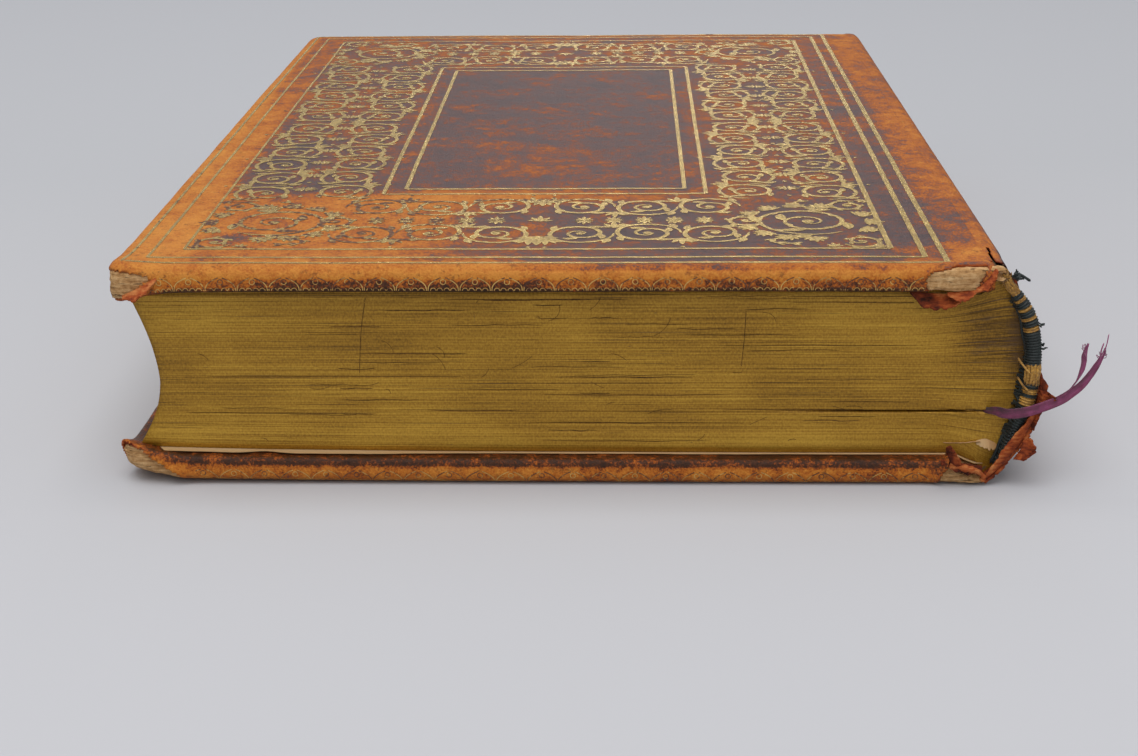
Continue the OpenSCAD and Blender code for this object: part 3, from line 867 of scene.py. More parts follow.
def dot(x, y, radius):
    t = np.linspace(-1, 1, 9)
    path = np.stack([x + radius * t, np.full(9, y)], -1)
    return stroke(path, 2 * radius * np.sqrt(np.maximum(1 - t**2, 0.004)))


def ring(x, y, radius, width):
    turn = np.linspace(0, 2 * np.pi, 13)
    return stroke(np.stack([x + radius * np.cos(turn), y + radius * np.sin(turn)], -1), width)


def scroll(x, y, radius, start, turns, hand):
    """A vine that winds inwards to a bud, with small leaves that follow its outer and inner side."""
    t = np.linspace(0, 1, 44)
    turn = start + hand * 2 * np.pi * turns * t
    size = radius * (1 - 0.86 * (np.maximum(t - 0.2, 0) / 0.8) ** 0.75)
    path = np.array([x, y]) + np.stack([np.cos(turn), np.sin(turn)], -1) * size[:, None]
    made = [stroke(path, 0.35 + 0.55 * np.sin(np.pi * t**0.6)), dot(x, y, 0.1 * radius + 0.25)]
    for k in range(2, 32, 5):
        made.append(leaf(*path[k], turn[k] + hand * 0.95, 0.55 * radius, 0.9 * hand, 0.4))
        made.append(leaf(*path[k + 2], turn[k + 2] + hand * 2.2, 0.26 * radius, -0.9 * hand, 0.5))
    return made


def vine(start, end, waves, first_hand):
    """A running vine: a row of half turns from start to end. Each half turn goes on inwards as a scroll, and
    a spray of leaves fills the hollow outside it."""
    start, end = np.asarray(start, float), np.asarray(end, float)
    run = end - start
    ahead = run / np.linalg.norm(run)
    aside = np.array([-ahead[1], ahead[0]])
    base = np.arctan2(ahead[1], ahead[0])
    pace = np.linalg.norm(run) / waves
    made = []
    for k in range(waves):
        hand = first_hand * (-1) ** k
        middle = start + run * (k + 0.5) / waves
        made += scroll(*middle, 0.5 * pace, base + np.pi, 2.0, -hand)
        hollow_at = middle + ahead * 0.5 * pace + aside * hand * 0.34 * pace
        made += palmette(*hollow_at, 0.3 * pace, 5, base + hand * np.pi / 2)
        made.append(dot(*(hollow_at + aside * hand * 0.42 * pace), 0.4))
    return made


def stem(points, leaf_size=2.6):
    """A flowing stalk with paired leaves."""
    path = flowing(points, 26)
    heading = np.arctan2(*np.gradient(path, axis=0).T[::-1])
    made = [stroke(path, 0.6)]
    for k in range(4, 24, 6):
        made.append(leaf(*path[k], heading[k] + 0.7, leaf_size, -0.5))
        made.append(leaf(*path[k], heading[k] - 0.7, leaf_size, 0.5))
    return made


def palmette(x, y, size, lobes=7, facing=np.pi / 2):
    """A fan of leaves from one point."""
    spread = np.linspace(-1.5, 1.5, lobes)
    made = [leaf(x, y, facing + a, size * (1 - 0.18 * abs(a)), -0.25 * np.sign(a), 0.3) for a in spread]
    return made + [dot(x, y, 0.14 * size)]


print("tools cut")

# %% Compose one quarter of the ornament
fillet_insets = (2.7, 6.0, 11.2)
hinge_extra = 5.0
fillet_w = 0.85
corner_x, corner_y, spray_r = 48.6, 86.0, 10.6


def quarter_ornament():
    """One quarter of the band between the frame and the panel, measured from the panel's middle: two rows of
    vine along the end and two along the side with small flowers between them, and a large scroll in the
    corner with sprays round it."""
    made = vine((37.0, 75.0), (2.0, 75.0), 3, 1) + vine((37.5, 93.5), (1.5, 93.5), 3, -1)
    made += vine((39.2, 69.0), (39.2, 1.0), 6, -1) + vine((54.0, 70.0), (54.0, 1.0), 6, 1)
    made += scroll(corner_x, corner_y, 8.8, 0.9, 2.2, 1) + scroll(56.8, 99.2, 3.6, 2.6, 1.5, -1)
    made += scroll(57.2, 74.6, 3.4, -1.2, 1.5, -1) + scroll(37.4, 85.0, 3.4, 0.4, 1.5, 1)
    made += stem([(45.0, 95.0), (41.0, 99.5), (46.0, 101.0)], 2.0)
    made += stem([(52.0, 78.0), (47.0, 73.5), (49.0, 70.5)], 2.0)
    for x in (8.0, 13.5, 19.0, 24.5, 30.0):
        made += palmette(x, 85.0, 2.4, 5) + palmette(x, 84.4, 2.4, 5, -np.pi / 2)
    for y in (6.0, 17.0, 28.0, 39.0, 50.0, 61.0):
        made += palmette(47.1, y, 2.4, 5, 0.0) + palmette(46.5, y, 2.4, 5, np.pi)
        made.append(dot(46.8, y + 5.5, 0.5))
    for turn in np.radians([0, 28, 88, 112, 136, 160, 210, 236, 262, 286, 332]):
        made += palmette(corner_x + spray_r * np.cos(turn), corner_y + spray_r * np.sin(turn), 3.4, 7, turn)
    for x, y in ((60.0, 103.0), (52.0, 102.6), (60.2, 92.0), (60.4, 70.5)):
        made += palmette(x, y, 2.2, 5, np.arctan2(corner_y - y, corner_x - x))
    return made


def fillet_frame(left, right, tall, left_w=fillet_w, right_w=fillet_w):
    """Four straight lines round a rectangle that reaches equally far towards head and tail."""
    upright = [fillet_line((x, -tall), (x, tall), width) for x, width in ((left, left_w), (right, right_w))]
    return upright + [fillet_line((left, y), (right, y), fillet_w) for y in (-tall, tall)]


def cover_fillets():
    """The straight lines on a cover's face, on the flat sheet: three frames and a double panel."""
    made = []
    for gap in fillet_insets:
        made += fillet_frame(edge_x + gap, hinge_x - gap - hinge_extra, -edge_y - gap, 0.55, 1.05)
    for gap in (0.0, 4.0):
        wide = panel_half_x + gap
        made += fillet_frame(panel_middle - wide, panel_middle + wide, panel_half_y + gap)
    return made


def cover_ornament():
    """The ornament mirrored into four quarters, with palmettes on the middle line."""
    made = []
    quarter = quarter_ornament()
    for flip_x in (1, -1):
        for flip_y in (1, -1):
            made += [band * (flip_x, flip_y) + (panel_middle, 0.0) for band in quarter]
    middle = palmette(0.0, 96.0, 5.4) + palmette(0.0, 70.0, 4.4)
    middle += palmette(0.0, 85.0, 3.4, 5, -np.pi / 2)
    for flip_y in (1, -1):
        made += [band * (1, flip_y) + (panel_middle, 0.0) for band in middle]
    return made


fillets, ornament = cover_fillets(), cover_ornament()
print("strokes on a cover:", len(fillets), "straight and", len(ornament), "of ornament")


# %% Compose the edge roll
def edge_roll_strokes(upside_down):
    """A running edge pattern: a row of arches open at the top, a ring inside each and small bumps below.
    It is laid along the head, the fore-edge and the tail, on the straight of the edge."""
    pitch_mm = 5.4
    top, bottom = 13.0, 15.3
    t = np.linspace(0, 1, 12)
    arm = np.stack([0.14 + 2.2 * t**2.3, bottom + (top - bottom) * t**0.85], -1)
    bump = np.linspace(0, np.pi, 7)
    unit = [stroke(arm, 0.17), stroke(arm * (-1, 1), 0.17), ring(pitch_mm / 2, top + 0.75, 0.45, 0.15)]
    for shift in (1.0, 2.1, 3.3, 4.4):
        unit.append(stroke(np.stack([shift + 0.48 * np.cos(bump), bottom - 0.5 * np.sin(bump)], -1), 0.14))
    if upside_down:
        unit = [np.stack([band[..., 0], 26.6 - band[..., 1]], -1) for band in unit]
    made = []
    for place in np.arange(fore_line - 6.0, hinge_x - 6.0, pitch_mm):
        for sign in (-1, 1):
            made += [np.stack([band[..., 0] + place, sign * (end_line + band[..., 1])], -1) for band in unit]
    for place in np.arange(-end_line - 6.0, end_line + 2.0, pitch_mm):
        made += [np.stack([fore_line - band[..., 1], band[..., 0] + place], -1) for band in unit]
    return made


roll_gold = {"front": edge_roll_strokes(False), "back": edge_roll_strokes(True)}
print("strokes of the edge roll:", len(roll_gold["front"]))


# %% Lay the gold on both covers
gold_lift = 0.05


def laid_gold(strokes, side, rubbed, share):
    """Carries the strokes from the flat sheet to the cover, and leaves out those over a bare place. The
    gold's wear is its own rubbed value plus a share of the leather's wear."""
    made = []
    for band in strokes:
        p, q = band[..., 0], band[..., 1]
        plain, _ = cover_point(p, q, 0.0, side, bent=False)
        if bare_distance(*np.moveaxis(plain, -1, 0), side).min() < 0.2:
            continue
        points, _ = cover_point(p, q, pucker(p, q, plain[..., 2], side) + gold_lift, side)
        wear = rubbed + share * cover_wear_and_shade(*np.moveaxis(plain, -1, 0), side)
        made.append(part(points, wear, facing=facing_of[side]))
    return made


for side in ("front", "back"):
    tooling = laid_gold(fillets, side, 0.0, 0.35) + laid_gold(ornament, side, -0.03, 0.66)
    piece(f"{side}_gold_tooling", tooling, [gold], f"{side}_cover")
    piece(f"{side}_edge_roll", laid_gold(roll_gold[side], side, 0.2, 0.35), [dull_gold], f"{side}_cover")

# %% [markdown]
# ## Pages
# The pages were trimmed, gilded and rounded, so the head is a flat face of several hundred fine lines, the
# fore-edge is hollow and the spine bulges into two shoulders. One page is a line of constant v on this face:
# flat for most of its width, and bent towards its shoulder near the spine. The face is a grid of (u, v) with
# fine ridges, and the sides carry its outline from the head to the tail.

# %% Page shapes
spine_r = 25.05
block_r = 23.75
round_x = 59.45
flat_high = 34.65
flat_low = book_t - flat_high
shoulder = 17.69
fore_x = -72.5
hollow, hollow_z = 4.6, 18.3
slit_z = 12.7
pages_t = flat_high - flat_low


def page_outline(v):
    """Fore-edge and spine ends of a page: a hollow on the left, a circle on the right."""
    z = flat_low + pages_t * v
    off = (z - hollow_z) / np.where(z > hollow_z, flat_high - hollow_z, hollow_z - flat_low)
    left = fore_x + hollow * (1 - np.abs(off) ** 1.7)
    spine_z = mid_z + shoulder * (2 * v - 1)
    return left, round_x + np.sqrt(block_r**2 - (spine_z - mid_z) ** 2), z, spine_z


def page_point(u, v):
    """A point of the head face: across by u, then up by the page's bend towards its shoulder."""
    left, right, z, spine_z = page_outline(v)
    x = left + (right - left) * u
    bend_from = 59.0 + 16.05 * np.abs(2 * v - 1) ** 2.4
    bent = smooth((x - bend_from) / np.maximum(right - bend_from, 0.05))
    return x, z + (spine_z - z) * bent


def lift_pages(x, y, z):
    """The lowest pages have risen at the near fore corner, over the lifted cover, and sag at the near hinge
    corner, where the board is crushed."""
    low = smooth((15.0 - z) / 11.0)
    from_head = np.maximum(y - head_y, 0)
    risen = 1.15 * low * np.exp(-np.maximum(x - fore_x, 0) / 32) * np.exp(-from_head / 70)
    return z + risen - 1.8 * smooth((x - 69.5) / 5) * smooth((8.5 - z) / 4) * np.exp(-from_head / 5)


u_line = np.concatenate([np.linspace(0, 0.86, 104)[:-1], np.linspace(0.86, 1, 52)])
slit_v = (slit_z - flat_low) / pages_t
v_line = np.unique(np.r_[np.linspace(0, 1, 112), slit_v + np.linspace(-0.018, 0.018, 9)])
page_v, page_u = np.meshgrid(v_line, u_line, indexing="ij")


def page_relief(x, z, page, end):
    """How far the leaf edges stand out: fine ridges, uneven sections, worn outer leaves, a full low one."""
    leaf_mm = page * pages_t
    ridges = 0.05 * mottle(leaf_mm, x * 0.012, 0.34, 71) + 0.09 * mottle(leaf_mm, x * 0.02, 2.3, 72 + end)
    return ridges - 0.25 * smooth((np.abs(2 * page - 1) - 0.93) / 0.07) + 0.3 * hump(z, 7.0, 2.2)


def page_face(end):
    """The head (end -1) or the tail (end 1), with its grime, painted shade and a painted highlight, and, at
    the head, the slit where the ribbon comes out, painted dark inside."""
    x, z = page_point(page_u, page_v)
    relief = page_relief(x, z, page_v, end)
    # Brown smudges towards the spine are grime. The rest is painted: shade in a band just before the headband
    # and on the top pages under the cover's overhang, and a highlight on the low pages at about 7 mm.
    dirt_and_painted_light = 0.25 + 0.75 * smooth((x - 66) / 9) * hump(z, 26.0, 6.5) + 0.45 * smooth((x - 77) / 3)
    dirt_and_painted_light = dirt_and_painted_light + 0.25 * smooth((page_v - 0.9) / 0.1) - 0.5 * hump(z, 7.0, 2.0)
    if end < 0:
        slit = hump(z, slit_z, 0.13) * smooth((x - 34) / 30)
        relief = relief - 1.6 * slit
        # Painted shade inside the slit.
        dirt_and_painted_light = dirt_and_painted_light + 1.5 * slit
    y = end * (-head_y + relief)
    uv = np.stack([x, page_v * pages_t], -1)
    return np.stack([x, y, lift_pages(x, y, z)], -1), dirt_and_painted_light, uv


def outline_of(grid):
    """The border of a grid, once round."""
    return np.concatenate([grid[0, :-1], grid[:-1, -1], grid[-1, :0:-1], grid[:0:-1, 0]])


head_face, head_dirt_and_painted_light, head_uv = page_face(-1)
tail_face, tail_dirt_and_painted_light, tail_uv = page_face(1)
near_ring, far_ring = outline_of(head_face), outline_of(tail_face)
ring_page = outline_of(head_uv)[:, 1]
steps = np.linspace(0, 1, 44)[:, None, None]
wrap = near_ring[None] * (1 - steps) + far_ring[None] * steps
side_x = near_ring[:, 0][None]
side_z = outline_of(np.stack(page_point(page_u, page_v), -1))[:, 1][None]
wrap[1:-1, :, 2] = lift_pages(side_x, wrap[1:-1, :, 1], side_z)
wrap[1:-1, :, 0] += 0.06 * mottle(ring_page[None] + 0 * wrap[1:-1, :, 1], wrap[1:-1, :, 1] * 0.01, 0.4, 75)
wrap_uv = np.stack(np.broadcast_arrays(wrap[..., 1], ring_page[None]), -1)
block = [
    part(head_face, head_dirt_and_painted_light, head_uv, facing=(0, -1, 0)),
    part(tail_face, tail_dirt_and_painted_light, tail_uv, facing=(0, 1, 0)),
    part(wrap, 0.3, wrap_uv, wrap_cols=True),
]
piece("gilt_page_block", block, [gilt.material], "text_block",
      stands_for=["text_block"], merge=True)

# %% [markdown]
# ## Scratches on the gilding
# Gilt edges get scored: long straight lines where a leaf has sprung, and fine curved hairs from handling.
# They are strokes like the gold tooling, but dark, and they lie on the head face, following its relief.


# %% Score the head
def page_scratches(seed):
    """Straight rules of random place and length, curved hairs, and three longer scores."""
    draw = np.random.default_rng(seed)
    made = []
    for _ in range(46):
        x, z = draw.uniform(-66, 48), draw.uniform(6.5, 33.6)
        length = 5.0 * 10 ** draw.uniform(0, 0.95)
        t = np.linspace(0, 1, 24)
        path = np.stack([np.minimum(x + length * t, 62.0), z + 0.12 * mottle(t * 6, x, 1.0, 77)], -1)
        made.append(stroke(path, draw.uniform(0.06, 0.17) * np.sin(np.pi * t) ** 0.4 + 0.02))
    for _ in range(26):
        x, z, heading = draw.uniform(-64, 56), draw.uniform(7, 33), draw.normal(0, 0.45)
        turn = heading + draw.normal(0, 0.8) * np.linspace(0, 1, 14)
        step = draw.uniform(0.8, 4.5) / 13 * np.stack([np.cos(turn), np.sin(turn)], -1)
        path = np.array([x, z]) + np.vstack([[0, 0], np.cumsum(step[:-1], axis=0)])
        made.append(stroke(path[np.abs(path[:, 1] - mid_z) < 14], 0.08))
    scores = (
        [(-31.4, 33.4), (-32.4, 27.0), (-33.0, 19.8)],
        [(-36.6, 20.6), (-33.0, 20.4), (-30.4, 20.6)],
        [(33.6, 31.0), (33.4, 26.0), (33.0, 21.0)],
    )
    made += [stroke(flowing(score, 24), 0.13) for score in scores]
    return [band for band in made if len(band) > 2]


def on_head(band):
    """Carries a flat band of (x, z) to the head face."""
    x, z = band[..., 0], band[..., 1]
    page = (z - flat_low) / pages_t
    y = head_y - page_relief(x, z, page, -1) - 0.04
    return part(np.stack([x, y, lift_pages(x, y, z)], -1), facing=(0, -1, 0))


piece("page_edge_scratches", [on_head(band) for band in page_scratches(15)], [scored.material], "text_block")

# %% [markdown]
# ## Endpapers and the inside of the joints
# The solids for the flyleaf and the paste-down at the front are right as they are and only get paper. At the
# back both follow the lifted corner, so they are new sheets. A strip of paper bridges each joint inside.

# %% Papers
node_finish = {
    "front_flyleaf": endpaper, "front_pastedown": endpaper,
    "spine_lining": lining_paper, "sewing_cords": hemp_cord,
}
for node, finish in node_finish.items():
    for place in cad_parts[node].material_slots:
        place.material = finish


def sheet_of_paper(low_x, high_x, near_y, far_y, height, follow, droop=0.0):
    """A level sheet whose near edge may step in and out and droop, and whose height follows a lift."""
    x, t = np.meshgrid(np.linspace(low_x, high_x, 100), np.linspace(0, 1, 60) ** 1.6, indexing="ij")
    near = near_y(x) + 0.12 * ragged(x, 0.0, 4.0, 81)
    y = near + (far_y - near) * t
    z = follow(x, y, np.full_like(x, height)) - droop * (1 - smooth((y - near) / 1.4))
    browned = 0.15 + 0.6 * np.exp(-(y - near) / 2.5)
    return part(np.stack([x, y, z], -1), browned, np.stack([x, y], -1), facing=(0, 0, 1))


def fly_edge(x):
    """The flyleaf's near edge: it stands out at the fore corner and has lost a bite."""
    return head_y - 0.35 - 1.0 * smooth((-5 - x) / 40) + 0.9 * hump(x, -50.0, 3.0)


paste_low, paste_high = box_mm("back_pastedown")
fly_low, fly_high = box_mm("back_flyleaf")
paste = sheet_of_paper(
    paste_low[0], paste_high[0], lambda x: paste_low[1] + 0 * x, paste_high[1], paste_high[2],
    lambda x, y, z: bend_cover(x, y, z, "back")[2])
piece("back_pastedown_sheet", [paste], [endpaper], "back_cover", 0.15, ["back_pastedown"])
fly = sheet_of_paper(
    fly_low[0] + 0.4, fly_high[0], fly_edge, fly_high[1], flat_low,
    lambda x, y, z: lift_pages(x, y, z) - 0.02, 0.06)
piece("back_flyleaf_sheet", [fly], [endpaper], "text_block", 0.16, ["back_flyleaf"])


def on_side(z, side):
    """A height given for the front cover, or its mirror image for the back cover."""
    return z if side == "front" else book_t - z


def joint_paper(side):
    """The endpaper where it passes from the flyleaf to the paste-down: a short strip up the shoulder. At
    both ends it is folded in to the hinge line, so that the open joint is not a hollow roll."""
    y, t = np.meshgrid(np.linspace(-110, 110, 60), np.linspace(0, 1, 9), indexing="ij")
    x = 75.06 + 0.07 * np.sin(np.pi * t)
    points = np.stack([x, y, on_side(34.78 + 0.9 * t, side)], -1)
    strips = [part(points, 0.4, np.stack([y, t], -1), facing=(-1, 0, 0))]
    for end in (0, -1):
        hinge = np.broadcast_to((75.0, points[end, 0, 1], on_side(39.2, side)), (9, 3))
        strips.append(part(np.stack([points[end], hinge], 1), 0.4, facing=(-0.1, np.sign(hinge[0, 1]), 0)))
    made = piece(f"{side}_joint_paper", strips, [endpaper], merge=True)
    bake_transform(made)


for side in ("front", "back"):
    joint_paper(side)

# %% [markdown]
# ## Spine and joints
# The spine leather is an arc carried along the book. Its head is torn: the upper half has lost about
# seventeen millimetres and shows the paper lining, and the lower half is ragged.


# %% Spine leather
def spine_point(angle, y, lift):
    """On a circle about the middle of the spine, lifted outwards."""
    r = spine_r + lift
    return np.stack([round_x + r * np.cos(angle), y + 0 * angle, mid_z + r * np.sin(angle)], -1)


def spine_tear(angle):
    """Where the leather begins at the head, for each angle."""
    torn_to = edge_y + 0.8 + 16.5 * smooth((np.degrees(angle) + 9) / 11)
    return torn_to + ragged(angle * 25, 0.0, 4.0, 91)


def spine_waves(angle, y):
    """Small waves of the spine leather, in mm."""
    return 0.05 * ragged(angle * 25, y, 9.0, 93)


spine_y_line = np.concatenate([
    np.linspace(edge_y, -94, 60)[:-1],
    np.linspace(-94, 108, 100)[:-1],
    np.linspace(108, -edge_y, 14)])
spine_a_line = np.radians(np.linspace(-50.4, 50.4, 110))
spine_a, spine_y = np.meshgrid(spine_a_line, spine_y_line, indexing="ij")
past_tear = spine_y - spine_tear(spine_a)
tear_curl = 0.6 + 0.6 * ragged(spine_a * 25, 3.0, 2.5, 95)
spine_lift = spine_waves(spine_a, spine_y)
spine_lift += 0.7 * np.exp(-np.maximum(past_tear, 0) / 1.1) * tear_curl
spine_skin = spine_point(spine_a, spine_y, spine_lift)
tear_tone = np.where(spine_a > 0, -0.3, 0.12)
spine_wear = 0.46 + tear_tone * np.exp(-np.maximum(past_tear, 0) / 4) + 0.1 * np.cos(spine_a * 3)
spine_wear = spine_wear + 0.2 * smooth((spine_y - 104) / 10)
piece("spine_leather_skin", [part(spine_skin, spine_wear, keep=past_tear > 0, facing=(1, 0, 0))],
      skin_finishes, "text_block", skin_t, ["spine_leather"])


# %% Spine gold
def spine_gold():
    """Paired fillets at the cords and ends, and a small four-leaf flower in each panel, on (angle, y)."""
    made = []
    half = np.radians(46)
    arc = np.linspace(-half, half, 50) * spine_r
    cords = 37.33 * np.arange(-2, 3)
    for place in np.concatenate([cords - 1.4, cords + 1.4, [-100.5, -98.0, 105.5, 108.0]]):
        made.append(stroke(np.stack([arc, np.full(50, place)], -1), 0.55))
    for place in np.r_[cords[:-1] + 18.66, -87.0, 90.0]:
        for k in range(4):
            made.append(leaf(0.0, place, k * np.pi / 2 + 0.2, 5.0, -0.4))
            made.append(leaf(0.0, place, k * np.pi / 2 + np.pi / 4, 3.2, 0.0, 0.22))
        made.append(ring(0.0, place, 6.4, 0.35))
    parts = []
    for band in made:
        angle, y = band[..., 0] / spine_r, band[..., 1]
        points = spine_point(angle, y, spine_waves(angle, y) + 0.06)
        parts.append(part(points, 0.22, facing=(1, 0, 0)))
    return parts


piece("spine_gold_fillets", spine_gold(), [gold], "text_block")


# %% Joint leather
def joint_leather(side):
    """A section from the spine over the hinge to the cover, carried along the book."""
    section = flowing([
        (79.8, 34.2), (78.9, 36.5), (77.8, 38.2), (76.6, 39.2),
        (75.4, 39.62), (74.5, 39.6), (73.7, 39.4), (71.5, 39.2)], 40)
    y_line = np.concatenate([np.linspace(-113.5, -96, 40)[:-1], np.linspace(-96, 114.2, 100)])
    y, k = np.meshgrid(y_line, np.arange(40), indexing="ij")
    x, z = section[k, 0], section[k, 1]
    z = z - 0.12 * hump(x, 75.2, 0.8) + 0.05 * ragged(x * 2, y, 7.0, 101)
    torn_back = -111.6 + 13.5 * smooth((x - 76.6) / 1.5) + 0.7 * ragged(x * 3, 0.0, 3.0, 103)
    open_crack = hump(x, 75.3 + 0.3 * ragged(y, 0.0, 4.0, 105), 0.18) * smooth((-97 - y) / 8)
    keep = (y > torn_back) & (open_crack < 0.5)
    near_tear = np.exp(-np.maximum(y - torn_back, 0) / 4) * smooth(x - 76)
    wear = 0.6 - 0.18 * smooth((x - 77) / 2) - 0.3 * near_tear
    up = 1 if side == "front" else -1
    strip = part(np.stack([x, y, on_side(z, side)], -1), wear, keep=keep, facing=(0.6, 0, up))
    made = piece(f"{side}_joint_leather", [strip], skin_finishes, thickness=0.25)
    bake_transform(made)


for side in ("front", "back"):
    joint_leather(side)

# %% [markdown]
# ## Headbands
# A headband is a cord with silk wound round it in two colours, sewn at each end of the spine. It is a tube
# along a line, an arc at the tail and a flattened one at the head, and each turn of silk is a small ridge in
# the tube's radius. At the head part of the silk is lost: the cord shows near the top, some yellow strands
# are bare, and loose ends stand off.

# %% Band shapes
silk_r, core_r = 1.45, 1.0
thread_w = 0.5
band_r = 22.65
band_off = 1.5


def band_line(points):
    """A band's middle line in (x, z), from the top down: places along it, points and outward directions."""
    line = flowing(points, 240)
    ahead = np.gradient(line, axis=0)
    ahead /= np.linalg.norm(ahead, axis=1)[:, None]
    run = np.r_[0, np.cumsum(np.linalg.norm(np.diff(line, axis=0), axis=1))]
    return run, line, np.stack([-ahead[:, 1], ahead[:, 0]], -1)


def on_band(line, s, out, y):
    """The point at place s of a band's line, pushed outwards, at depth y."""
    run, middle, outward = line
    x, z = (np.interp(s, run, middle[:, k]) + out * np.interp(s, run, outward[:, k]) for k in (0, 1))
    return np.stack(np.broadcast_arrays(x, y, z), -1)


tail_turn = np.radians(np.linspace(41.0, -41.0, 11))
tail_x, tail_z = round_x + band_r * np.cos(tail_turn), mid_z + band_r * np.sin(tail_turn)
tail_line = band_line(np.stack([tail_x, tail_z], -1))
head_line = band_line([
    (77.0, 36.9), (78.7, 34.6), (80.3, 32.2), (81.6, 29.1), (82.35, 25.2), (82.5, 21.4),
    (82.3, 17.4), (81.6, 13.9), (80.7, 11.2), (79.7, 8.3), (78.6, 5.2), (77.5, 2.3)])
head_run = head_line[0][-1]
print(f"head band line {head_run:.1f} mm long, tail band line {tail_line[0][-1]:.1f} mm")


def band_tube(line, start, end, radius, y, ridge, twist=0.0, thin_end=0.0):
    """A tube along a band's line from start to end (mm from the top), with ridges across it. The twist leans
    the ridges, as the strands of a cord do."""
    count = max(int((end - start) / 0.06), 8)
    s, turn = np.meshgrid(np.linspace(start, end, count), np.linspace(0, 2 * np.pi, 15)[:-1], indexing="ij")
    wave = np.abs(np.sin(np.pi * s / ridge + twist * turn))
    share = s / line[0][-1]
    thinned = np.maximum(smooth((share - 0.6) / 0.2), smooth(1 - share / 0.25))
    size = radius * (0.82 + 0.2 * wave) * (1 - thin_end * thinned)
    size = size + 0.05 * ragged(s, turn * 0.3, 1.0, 111)
    size[[0, -1]] = 0.0
    points = on_band(line, s, size * np.cos(turn), y + size * np.sin(turn))
    return part(points, 0.5, np.stack([s, turn], -1), wrap_cols=True)


def silk_bands(stops, colour):
    """Every other stretch between the stops, for one of the two colours."""
    return [(a, b) for k, (a, b) in enumerate(zip(stops[:-1], stops[1:])) if k % 2 == colour]


head_stops = [
    3.0, 4.0, 4.6, 5.8, 6.5, 7.6, 8.2, 9.4, 10.3,
    16.5, 19.6, 20.6, 21.6, 22.2, 24.0, 24.8, 25.4, head_run - 0.3]
tail_stops = np.concatenate([[0.4], np.cumsum(np.tile([1.2, 0.8], 16))[:31] + 0.4])
bands = (
    ("headband", head_line, head_y - band_off, head_stops, 0.4),
    ("tailband", tail_line, -head_y + band_off, tail_stops, 0.1),
)
for name, line, y, stops, thin in bands:
    green = [band_tube(line, a, b, silk_r, y, thread_w, 0.15, thin) for a, b in silk_bands(stops, 0)]
    kept = [(a, b) for a, b in silk_bands(stops, 1) if b - a < 2]
    yellow = [band_tube(line, a, b, silk_r * 0.96, y, thread_w, 0.15, thin) for a, b in kept]
    core = [band_tube(line, 0.0, line[0][-1], core_r, y, 1.3, 1.0, thin)]
    piece(f"{name}_green_windings", green, [green_silk], "text_block",
          stands_for=[f"{name}_green_silk"], merge=True)
    piece(f"{name}_yellow_windings", yellow, [yellow_silk], "text_block",
          stands_for=[f"{name}_yellow_silk"], merge=True)
    piece(f"{name}_cord", core, [band_cord], "text_block",
          stands_for=[f"{name}_core"], merge=True)


# %% Loose threads at the head
under_hinge = 38.8


def loose_threads(seed, count, place, spread, reach, lean, radius):
    """Thin bent threads that start near a place and lean one way, each with its own curl. They stay under the
    hinge, so that the cover swings clear of them."""
    draw = np.random.default_rng(seed)
    made = []
    for _ in range(count):
        start = np.array(place) + draw.normal(0, 1, 3) * spread
        way = np.array(lean, float) + draw.normal(0, 0.55, 3)
        way *= reach * draw.uniform(0.5, 1.2) / np.linalg.norm(way)
        sag = draw.normal(0, 0.25, 3) * reach
        line = flowing([start, start + way * 0.4 + sag, start + way * 0.8 - sag * 0.4, start + way], 14)
        line[:, 2] = np.minimum(line[:, 2], under_hinge)
        made.append(tube(line, radius, 5))
    return made


def arc_thread(line, start, end, out, y, radius, sway, seed):
    """A strand that follows a band's line, swaying in and out."""
    s = np.linspace(start, end, 60)
    run = np.arange(60) * 0.4
    out = out + sway * mottle(run, 0.0, 2.5, seed)
    return tube(on_band(line, s, out, y + sway * mottle(run, 5.0, 2.5, seed + 1)), radius, 7)


green_ends = loose_threads(5, 10, (78.6, -113.8, 37.9), (0.35, 0.3, 0.3), 1.1, (0.6, -0.4, -0.1), 0.2)
thick_strand = [(78.2, -113.8, 38.2), (79.4, -114.0, 37.8), (81.0, -114.2, 36.8)]
thin_strand = [(78.2, -113.6, 37.9), (78.5, -113.8, 38.4), (78.5, -113.9, 38.9)]
green_ends += [tube(flowing(thick_strand, 14), 0.24, 7), tube(flowing(thin_strand, 10), 0.13, 6)]
green_ends += loose_threads(6, 4, (82.9, -114.2, 29.2), (0.1, 0.2, 0.2), 0.9, (1.0, -0.2, -0.1), 0.14)
green_ends += loose_threads(9, 4, (83.6, -114.2, 25.4), (0.1, 0.2, 0.2), 1.0, (1.0, -0.2, -0.1), 0.14)
# A bead of dark silk along the band's inner side and a close row of tie-downs into the pages. They are real
# parts of a headband, and they also stand in for the shade along the band's inner side.
green_ends += [arc_thread(head_line, 4.0, head_run - 0.5, -1.2, head_y - 0.6, 0.3, 0.3, 115)]
draw = np.random.default_rng(21)
tied_at = [0, 5, 8, 14, 19, 23, 28, 36]
tied_deep = [1.5, 1.3, 1.0, 1.0, 2.1, 1.9, 1.5, 1.0]
for s in np.arange(3.6, head_run - 0.4, 0.6):
    tied = -np.interp(s, tied_at, tied_deep) - draw.uniform(0.0, 0.35)
    start = on_band(head_line, s + draw.normal(0, 0.6), tied, head_y + 0.3)
    middle = on_band(head_line, s, 0.6 * tied, head_y - 1.2)
    end = on_band(head_line, s, -0.45, head_y - 2.4)
    green_ends.append(tube(flowing([start, middle, end], 8), draw.uniform(0.2, 0.3), 6))
piece("headband_green_loose_ends", green_ends, [green_silk], "text_block", merge=True)
